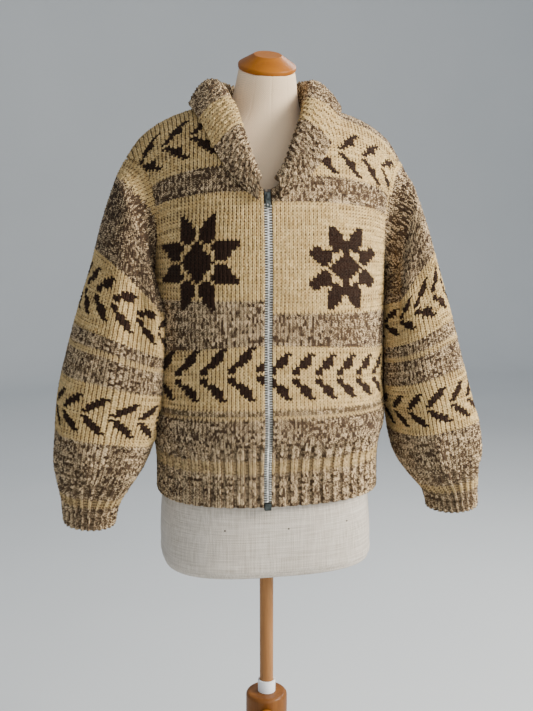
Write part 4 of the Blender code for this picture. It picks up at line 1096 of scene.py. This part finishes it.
def sleeve_point(side, angle, along):
    """Outer face of a sleeve below the armhole."""
    (outer_right, outer_left, outer_z, inner_right, inner_left, inner_z,
     half_depth, centre_y, squareness, left_lift) = smooth_row(SLEEVE_RINGS, along)
    outer = np.array((outer_right, outer_z) if side > 0 else (outer_left, outer_z + left_lift))
    inner = np.array((inner_right, inner_z) if side > 0 else (inner_left, inner_z + left_lift))
    lift = fold_height(side, angle, along)
    radius = np.linalg.norm(outer - inner) / 2 + lift
    across, forward = superellipse(math.pi / 2 - angle, radius, half_depth + lift, half_depth + lift,
                                   squareness)
    middle = (outer + inner) / 2
    x, z = middle + unit(outer - inner) * across
    y = centre_y + forward
    x = max(x, body_side(y, z) + BODY_CLEAR)
    return np.array((side * x, y, z))


ARMHOLE_STEPS = 36
SLEEVE_COLUMNS, CUFF_COLUMNS = 78, 52
RINGS_START, CUFF_START = SLEEVE_RINGS[0][0], 0.513
SLEEVE_LENGTH = SLEEVE_RINGS[-1][0]
SLEEVE_ROWS = round(CUFF_START / ROW_HEIGHT)
CUFF_ROWS = 17
# first row from the shoulder, row after the last, how marled
SLEEVE_BANDS = ((0, 31, 1), (55, 60, 1), (60, 62, 0.3), (62, 72, 1), (92, 107, 1))
CUFF_BANDS = ((0, 6, 1), (6, 9, 0.3), (9, 17, 1))
# middle row, half height and start of the arrowheads
SLEEVE_ARROWS = ((42, 7.6, 3), (82, 6.6, 5))
SLEEVE_SLANT = {-1: 0.027, 1: 0.034}     # how far the rows rise towards the underarm, by side
BROWN_ROWS = 32            # rows at the top of a sleeve that may have browner yarn and painted shade
# More brown at the top of each sleeve, by side: on the left it is partly the marl's own darker tone and
# partly painted shade, as that sleeve's top lies away from the window.
BROWNER_AND_SHADED_TOP = {-1: 0.45, 1: 0.0}
TIP_ROWS = {-1: 6.5, 1: 2.0}             # cream rows at the shoulder's tip, by side
RING_STEP = 0.0103         # from one sampled ring to the next


def armhole_loop(side):
    """Points and outward edge directions round an armhole, from the tip down the front."""
    hand = "right" if side > 0 else "left"
    shares = (1 - np.cos(np.linspace(0, math.pi, ARMHOLE_STEPS + 1))) / 2
    levels = UNDERARM_Z + YOKE * shares
    levels[-1] -= 0.0002
    places = [("front_" + hand, level) for level in levels[::-1]]
    places += [("back_" + hand, level) for level in levels[1:-1]]
    points, normals = [], []
    for panel, level in places:
        column = float(armhole_column(panel, level))
        here = cloth_point(panel, column, level)
        back_step = -0.0004 if level > UNDERARM_Z + 0.001 else 0.0004
        beside = cloth_point(panel, column - 0.002, level) - here
        above = (cloth_point(panel, column, level + back_step) - here) / back_step
        normal = unit(np.cross(beside, above))
        points.append(here)
        normals.append(normal if normal @ (here - CLOTH_CENTRE) > 0 else -normal)
    points, normals = np.array(points), np.array(normals)
    tangents = np.roll(points, -1, axis=0) - np.roll(points, 1, axis=0)
    return points, unit(side * np.cross(normals, tangents))


def loop_angles(points):
    """Angle round the sleeve of each armhole point: 0 at the tip, pi at the underarm."""
    lengths = np.linalg.norm(np.roll(points, -1, axis=0) - points, axis=1)
    arc = np.concatenate(((0.0,), np.cumsum(lengths)))
    front = math.pi * arc[:ARMHOLE_STEPS + 1] / arc[ARMHOLE_STEPS]
    rest = arc[ARMHOLE_STEPS + 1:-1] - arc[ARMHOLE_STEPS]
    return np.concatenate((front, math.pi + math.pi * rest / (arc[-1] - arc[ARMHOLE_STEPS])))


def sleeve_surface(side):
    """The sleeve's outer face from the armhole to the cuff's edge."""
    points, outward = armhole_loop(side)
    angles = loop_angles(points)
    alongs = np.arange(RINGS_START, SLEEVE_LENGTH + 0.002, RING_STEP)
    rings = []
    for along in alongs:
        down = min(1.0, (along - RINGS_START) / (CUFF_START - RINGS_START))
        slant = SLEEVE_SLANT[side] * math.sin(math.pi * down ** 0.7)
        rings.append([sleeve_point(side, angle, along - slant * (0.5 - 0.5 * math.cos(angle)))
                      for angle in angles])
    rings = np.array(rings)
    start, first = points + outward * ARMHOLE_GAP, points + outward * ARMHOLE_TURN
    reach, shares = RINGS_START - ARMHOLE_TURN, np.array((0.2, 0.4, 0.6, 0.8))
    slope = (rings[1] - rings[0]) * (reach / RING_STEP)
    blend = [hermite(first, rings[0], outward * reach, slope, share) for share in shares]
    rows = np.array([start, first, *blend, *rings])
    places = np.concatenate(((0.0, ARMHOLE_TURN), ARMHOLE_TURN + reach * shares, alongs))
    closed = np.concatenate((rows[:, -1:], rows, rows[:, :2]), axis=1)
    closed_angles = np.concatenate((angles[-1:] - math.tau, angles, angles[:2] + math.tau))
    middle = rows.mean(axis=1)[:, None]
    return closed, closed_angles, places, lambda grid: grid - middle


SLEEVE_CREASES = (
    # side, angle in degrees, place along, reach in degrees, reach along, slant (degrees a metre),
    # height
    (-1, 150, 0.10, 10, 0.09, 20, 0.0050), (-1, 132, 0.13, 7, 0.09, 10, -0.0060),
    (-1, 70, 0.30, 9, 0.10, 60, -0.0032), (-1, 40, 0.42, 10, 0.09, -50, 0.0030),
    (-1, 95, 0.46, 9, 0.07, -80, -0.0036), (-1, 20, 0.47, 8, 0.05, 40, -0.0026),
    (-1, 135, 0.44, 9, 0.08, 30, 0.0034), (-1, 215, 0.20, 12, 0.12, 30, -0.0050),
    (-1, 270, 0.40, 10, 0.10, 60, 0.0034), (-1, 310, 0.44, 9, 0.08, -50, -0.0034),
    (1, 148, 0.12, 10, 0.09, 10, 0.0050), (1, 128, 0.14, 7, 0.08, 10, -0.0055),
    (1, 66, 0.28, 9, 0.10, 60, -0.0030), (1, 44, 0.43, 10, 0.08, -40, 0.0030),
    (1, 92, 0.45, 8, 0.07, 70, -0.0036), (1, 22, 0.40, 8, 0.08, 30, -0.0028),
    (1, 130, 0.46, 9, 0.08, 30, 0.0034), (1, 220, 0.21, 12, 0.12, 30, -0.0050),
    (1, 275, 0.41, 10, 0.10, -60, 0.0034), (1, 312, 0.45, 9, 0.08, 40, -0.0034),
)


def sleeve_crease(side, turns, along):
    """How far the creases lift a sleeve's cloth; turns is the angle as a share of a whole turn."""
    lift = 0.0 * turns
    for of_side, angle, centre, reach, long, slant, height in SLEEVE_CREASES:
        if of_side == side:
            off = (turns * 360 - angle - slant * (along - centre) + 180) % 360 - 180
            lift = lift + height * np.exp(-(off / reach) ** 2 - ((along - centre) / long) ** 2)
    gather = np.exp(-((along - CUFF_START + 0.022) / 0.020) ** 2)
    wave = np.sin(turns * math.tau * 11 + side) + 0.6 * np.sin(turns * math.tau * 17 + 2 * side)
    ease = np.clip(along / 0.03, 0, 1)
    return (lift + gather * wave * 0.0014) * ease


for hand, side in (("left", -1), ("right", 1)):
    grid, angles, places, outward = sleeve_surface(side)
    turn_share = angles / math.tau
    flip = side > 0
    sleeve = Knitting()
    row_size = CUFF_START / SLEEVE_ROWS
    main_face = surface(grid, turn_share * SLEEVE_COLUMNS, places / row_size, outward)
    dark = np.zeros((SLEEVE_ROWS, SLEEVE_COLUMNS), bool)
    for middle_row, half_height, start in SLEEVE_ARROWS:
        dark |= chevrons(SLEEVE_COLUMNS, SLEEVE_ROWS, middle_row, half_height, -side, 6, start)
    row = np.arange(SLEEVE_ROWS)[:, None]
    tip_rows = TIP_ROWS[side] * np.cos(np.arange(SLEEVE_COLUMNS) / SLEEVE_COLUMNS * math.tau)
    marl = bands(SLEEVE_ROWS, SLEEVE_BANDS) * (row >= tip_rows)
    main_colours = stitch_colours(SLEEVE_COLUMNS, SLEEVE_ROWS, dark, marl,
                                  (row < BROWN_ROWS) * BROWNER_AND_SHADED_TOP[side])
    main_outer, main_inner = knit_block(
        sleeve, main_face, lambda u, v: sleeve_crease(side, u / SLEEVE_COLUMNS, v * row_size),
        SLEEVE_COLUMNS, SLEEVE_ROWS, np.zeros((SLEEVE_ROWS, SLEEVE_COLUMNS), int), main_colours,
        flip=not flip, deepest=0.03)
    cuff_row = (SLEEVE_LENGTH - CUFF_START) / CUFF_ROWS
    cuff_first = CUFF_START / cuff_row
    cuff_face = surface(grid, turn_share * CUFF_COLUMNS, places / cuff_row, outward)
    cuff_colours = stitch_colours(CUFF_COLUMNS, CUFF_ROWS, np.zeros((CUFF_ROWS, CUFF_COLUMNS)),
                                  bands(CUFF_ROWS, CUFF_BANDS) + np.zeros((1, CUFF_COLUMNS)), -0.10)
    cuff_outer, cuff_inner = knit_block(
        sleeve, cuff_face, lambda u, v: sleeve_crease(side, u / CUFF_COLUMNS, v * cuff_row) * 0.4,
        CUFF_COLUMNS, CUFF_ROWS, rib_kinds(CUFF_COLUMNS, CUFF_ROWS, CUFF_ROWS, 1, 1, 0), cuff_colours,
        flip=not flip, deepest=0.03, first=cuff_first)
    # Three stitches of the sleeve are knitted together into two of the cuff.
    for main_edge, cuff_edge, over in ((main_outer[-1], cuff_outer[0], flip),
                                       (main_inner[-1], cuff_inner[0], not flip)):
        for group in range((len(main_edge) - 1) // 3):
            corners = [*main_edge[3 * group:3 * group + 4], *cuff_edge[2 * group:2 * group + 3][::-1]]
            sleeve.faces.append([int(number) for number in (corners[::-1] if over else corners)])
            sleeve.yarns.append((0.0, 1.0, 0.5))
    close_edges(sleeve, main_outer, main_inner, main_colours, not flip, ("first",))
    close_edges(sleeve, cuff_outer, cuff_inner, cuff_colours, not flip, ("last",))
    sleeve_piece = sleeve.piece("knitted_sleeve_" + hand, knitted_wool)
    flat_sleeve = (SLEEVE_COLUMNS * STITCH_WIDTH, SLEEVE_LENGTH)
    narrowed = 0.88        # share of the flat tube that is left where it narrows to the cuff
    dress_panel(sleeve_piece, "sleeve_" + hand,
                narrowed * flat_sleeve[0] * flat_sleeve[1])


# ------------------------------------------------------------------ shawl collar
# A thick band of raised and sunk stitches, sewn to the neck and folded over, marled with a cream
# stripe across each wing. It stands round the back of the neck and lies on the fronts down to the
# top of the zip.
SEAM_GAP = 0.00036         # space between pieces that are sewn or rest together
STEP = 1e-4                # step for slopes of the cloth's surface
COLLAR_WALL = 0.0065
COLLAR_STITCH, COLLAR_ROW = 0.0062, 0.0046
COLLAR_GAP = 0.0032        # space between the collar's foot and the neck edge
COLLAR_RIDE = 0.0032       # space between the collar's fall and the cloth under it
COLLAR_ROLL = 0.0052       # radius at which the collar folds over
# station, rise of the seam, edge outwards, edge drop, stand, lean, puff
COLLAR_STATIONS = (
    (0.00, 0.400, 0.001, 0.018, 0.001, 0.10, 0.000),
    (0.10, 0.470, 0.014, 0.021, 0.002, 0.10, 0.001),
    (0.30, 0.620, 0.033, 0.021, 0.004, 0.20, 0.001),
    (0.50, 0.820, 0.042, 0.012, 0.012, 0.50, 0.002),
    (0.60, 0.910, 0.041, 0.008, 0.019, 0.65, 0.002),
    (0.70, 1.000, 0.035, 0.002, 0.026, 0.80, 0.002),
    (0.85, 1.000, 0.022, 0.036, 0.034, 0.90, 0.002),
    (0.93, 1.000, 0.010, 0.046, 0.037, 0.90, 0.002),
    (1.00, 1.000, 0.000, 0.047, 0.038, 0.90, 0.002),
)


def trim_level(level):
    """Keeps half a seam's gap below the shoulder line."""
    return min(level, UNDERARM_Z + YOKE - SEAM_GAP / 2)


def cloth_normal(panel, column, level):
    """Outward unit normal of the cloth."""
    step_level = STEP if level < UNDERARM_Z + YOKE - STEP else -STEP
    here = cloth_point(panel, column, level)
    across = cloth_point(panel, column + STEP, level) - here
    along = (cloth_point(panel, column, level + step_level) - here) / step_level
    normal = unit(np.cross(across, along))
    return normal if normal @ (here - CLOTH_CENTRE) > 0 else -normal


def collar_section(panel, row):
    """Middle line of the collar at one station, from the neck seam over the roll to its outer edge."""
    station, seam_rise, edge_out, edge_drop, stand, lean, puff = row
    level = UNDERARM_Z + YOKE * seam_rise
    width = panel_width(panel)
    if panel.startswith("front"):
        column = neck_column(panel, level)
        seam_level = level
    else:
        neck = NECK_SHARE * tip_column(panel)
        share = (station - 1.0) / (0.70 - 1.0)
        column = neck * math.sin(math.pi / 2 * min(share, 1.0))
        seam_level = back_neck_level(panel, column, UNDERARM_Z + YOKE)
    seam_level = trim_level(seam_level)
    seam = cloth_point(panel, column, seam_level)
    normal = cloth_normal(panel, column, seam_level)
    edge_place = (panel, column + edge_out / width, trim_level(seam_level - edge_drop))
    edge_normal = cloth_normal(*edge_place)
    half = COLLAR_WALL / 2
    edge = cloth_point(*edge_place) + edge_normal * (half + COLLAR_RIDE)
    up = unit(normal * (1 - lean) + np.array((0.0, 0.0, lean)))
    out = edge - seam
    out = unit(out - up * (out @ up))
    foot = seam - normal * WALL / 2 - out * (half + COLLAR_GAP)
    top = foot + up * (stand + WALL / 2 + half + COLLAR_RIDE)
    path = [foot, top]
    for turn in (math.pi / 4, math.pi / 2):
        path.append(top + out * COLLAR_ROLL * (1 - math.cos(turn)) + up * COLLAR_ROLL * math.sin(turn))
    lift = path[-1] - (seam + normal * (half + COLLAR_RIDE))
    for share in (0.2, 0.4, 0.6, 0.8, 1.0):
        place = (panel, column + edge_out / width * share, trim_level(seam_level - edge_drop * share))
        under = cloth_point(*place) + cloth_normal(*place) * (half + COLLAR_RIDE)
        puffed = puff * math.sin(math.pi * share) * cloth_normal(*place)
        path.append(under + lift * (1 - share ** 2) + puffed)
    return path


collar_stations = np.concatenate((np.linspace(0, 0.7, 24), np.linspace(0.7, 1.0, 14)[1:]))
middle = []
for side, hand in ((-1, "left"), (1, "right")):
    half = []
    for station in collar_stations:
        panel = ("front_" if station <= 0.7 else "back_") + hand
        path = np.array(collar_section(panel, (station, *smooth_row(COLLAR_STATIONS, station))))
        lengths = np.linalg.norm(np.diff(path, axis=0), axis=1)
        arc = np.concatenate(((0.0,), np.cumsum(lengths)))
        slopes = np.gradient(path, arc, axis=0)
        fine = []
        for place in np.linspace(0, arc[-1], 28):
            span = int(np.clip(np.searchsorted(arc, place) - 1, 0, len(lengths) - 1))
            share = (place - arc[span]) / lengths[span]
            fine.append(hermite(path[span], path[span + 1], slopes[span] * lengths[span],
                                slopes[span + 1] * lengths[span], share))
        half.append(fine)
    middle += half if side < 0 else half[::-1][1:]
middle = np.array(middle).transpose(1, 0, 2)
collar_out = unit(np.cross(np.gradient(middle, axis=1), np.gradient(middle, axis=0)))
if collar_out[14, 0] @ np.array((0.0, -1.0, 0.3)) < 0:
    collar_out = -collar_out
collar_steps = np.linalg.norm(np.diff(middle[16], axis=0), axis=1)
COLLAR_LENGTH = float(collar_steps.sum())
collar_width = float(np.linalg.norm(np.diff(middle, axis=0), axis=2).sum(axis=0).mean())
collar_columns, collar_rows = round(COLLAR_LENGTH / COLLAR_STITCH), round(collar_width / COLLAR_ROW)
collar_along = np.concatenate(((0.0,), np.cumsum(collar_steps)))
collar_face = surface(middle + collar_out * COLLAR_WALL / 2,
                      collar_along / COLLAR_LENGTH * collar_columns,
                      np.linspace(0, collar_rows, 28), lambda grid: collar_out)
row, column = np.mgrid[0:collar_rows, 0:collar_columns]
collar_kinds = np.where((column + (row // 3) % 2) % 2 == 0, 2, 3)
from_left, from_right = column / collar_columns, (collar_columns - 1 - column) / collar_columns
cream_stripe = (from_left > 0.115) & (from_left < 0.195)
cream_stripe |= (from_right > 0.14) & (from_right < 0.215)
collar_colours = stitch_colours(collar_columns, collar_rows, 0 * row, 1.0 - cream_stripe)
collar = Knitting()
edges = knit_block(collar, collar_face, lambda u, v: 0.0007 * np.sin(u * 0.35) * np.sin(v * 0.5),
                   collar_columns, collar_rows, collar_kinds, collar_colours, wall=COLLAR_WALL * 1.2,
                   deepest=COLLAR_WALL)
close_edges(collar, *edges, collar_colours, False)
collar_piece = collar.piece("knitted_collar", knitted_wool)
dress_panel(collar_piece, "shawl_collar", None)


# ------------------------------------------------------------------ zip
# A separating zip: woven tapes sewn behind the knitted edges, bright metal teeth that lock by turns,
# a slider with a pull tab at the top and a retaining box at the hem.
CHAIN_WIDTH = 0.0090
CHAIN_BEHIND = 0.0008      # the chain's face lies this far behind the cloth's face


def zip_line(level):
    """Middle of the zip on the cloth's outer face."""
    return (cloth_point("front_left", 0.0, level) + cloth_point("front_right", 0.0, level)) / 2


def zip_metal(name, bright, dull, roughness):
    """Metal with a thin worn film: duller in patches, and finely scratched."""
    metal = Recipe(name, Metallic=1.0)
    patches = metal.noise(metal.place(), 160.0, 3.0)
    scratches = metal.noise(metal.stretched(metal.place(), (900, 900, 120)), 1.0, 2.0)
    colour = metal.mix(patches.within(0.35, 0.7), dull, bright)
    return metal.finish(colour, patches * 0.2 + roughness, scratches, 0.0001, 0.4)


teeth_metal = zip_metal("bright_teeth", (0.86, 0.85, 0.80), (0.58, 0.57, 0.53), 0.26)
slider_metal = zip_metal("slider_grey", (0.085, 0.098, 0.095), (0.045, 0.052, 0.050), 0.36)
woven_tape = Recipe("woven_tape")
tape_place = woven_tape.place()
tape_ribs = (woven_tape.node("ShaderNodeSeparateXYZ", None, {0: tape_place}, 2) * 5200).maths("SINE")
tape_fibre = woven_tape.noise(tape_place, 500.0, 3.0)
woven_tape.finish(woven_tape.mix(tape_fibre, (0.10, 0.085, 0.070), (0.22, 0.19, 0.16)), 0.9,
                  tape_ribs * 0.5 + tape_fibre, 0.0003, 0.6)
for node in ("zip_tape_left", "zip_tape_right"):
    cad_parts[node].data.materials[0] = woven_tape.material
for node in ("zip_slider", "zip_pull_tab", "zip_bottom_box"):
    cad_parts[node].data.materials[0] = slider_metal

chain_low, chain_high = (np.array(corner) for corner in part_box("zip_chain"))
chain_levels = np.linspace(HEM_Z, UNDERARM_Z + YOKE * ZIP_SHARE, 160)
chain_points = np.array([zip_line(level) for level in chain_levels])
TOOTH_PITCH = 0.0038
tooth_size = (CHAIN_WIDTH * 0.80, 0.0030, TOOTH_PITCH * 0.46)
teeth_mesh = bmesh.new()
half_pitch, tooth_bevel, tooth_ahead = TOOTH_PITCH / 2, 0.0004, 0.0004
tooth_heights = np.arange(chain_low[2] + half_pitch, chain_high[2] - half_pitch, half_pitch)
tooth_behind = CHAIN_BEHIND + tooth_size[1] / 2 - tooth_ahead
for number, z in enumerate(tooth_heights):
    side = 1 if number % 2 else -1
    x, y = (np.interp(z, chain_points[:, 2], chain_points[:, axis]) for axis in (0, 1))
    slope = (np.interp(z + 0.002, chain_points[:, 2], chain_points[:, 1]) - y) / 0.002
    place = (Matrix.Translation((x + side * CHAIN_WIDTH * 0.27, y + tooth_behind, z))
             @ Matrix.Rotation(-math.atan(slope), 4, "X") @ Matrix.Diagonal((*tooth_size, 1.0)))
    made = bmesh.ops.create_cube(teeth_mesh, size=1.0, matrix=place)
    ends = list({edge for vert in made["verts"] for edge in vert.link_edges})
    bmesh.ops.bevel(teeth_mesh, geom=ends, offset=tooth_bevel, segments=1, affect="EDGES")
teeth_piece = add_piece("zip_teeth", teeth_mesh, teeth_metal, 40)
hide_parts("zip_chain")
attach(teeth_piece, "dressed_form")
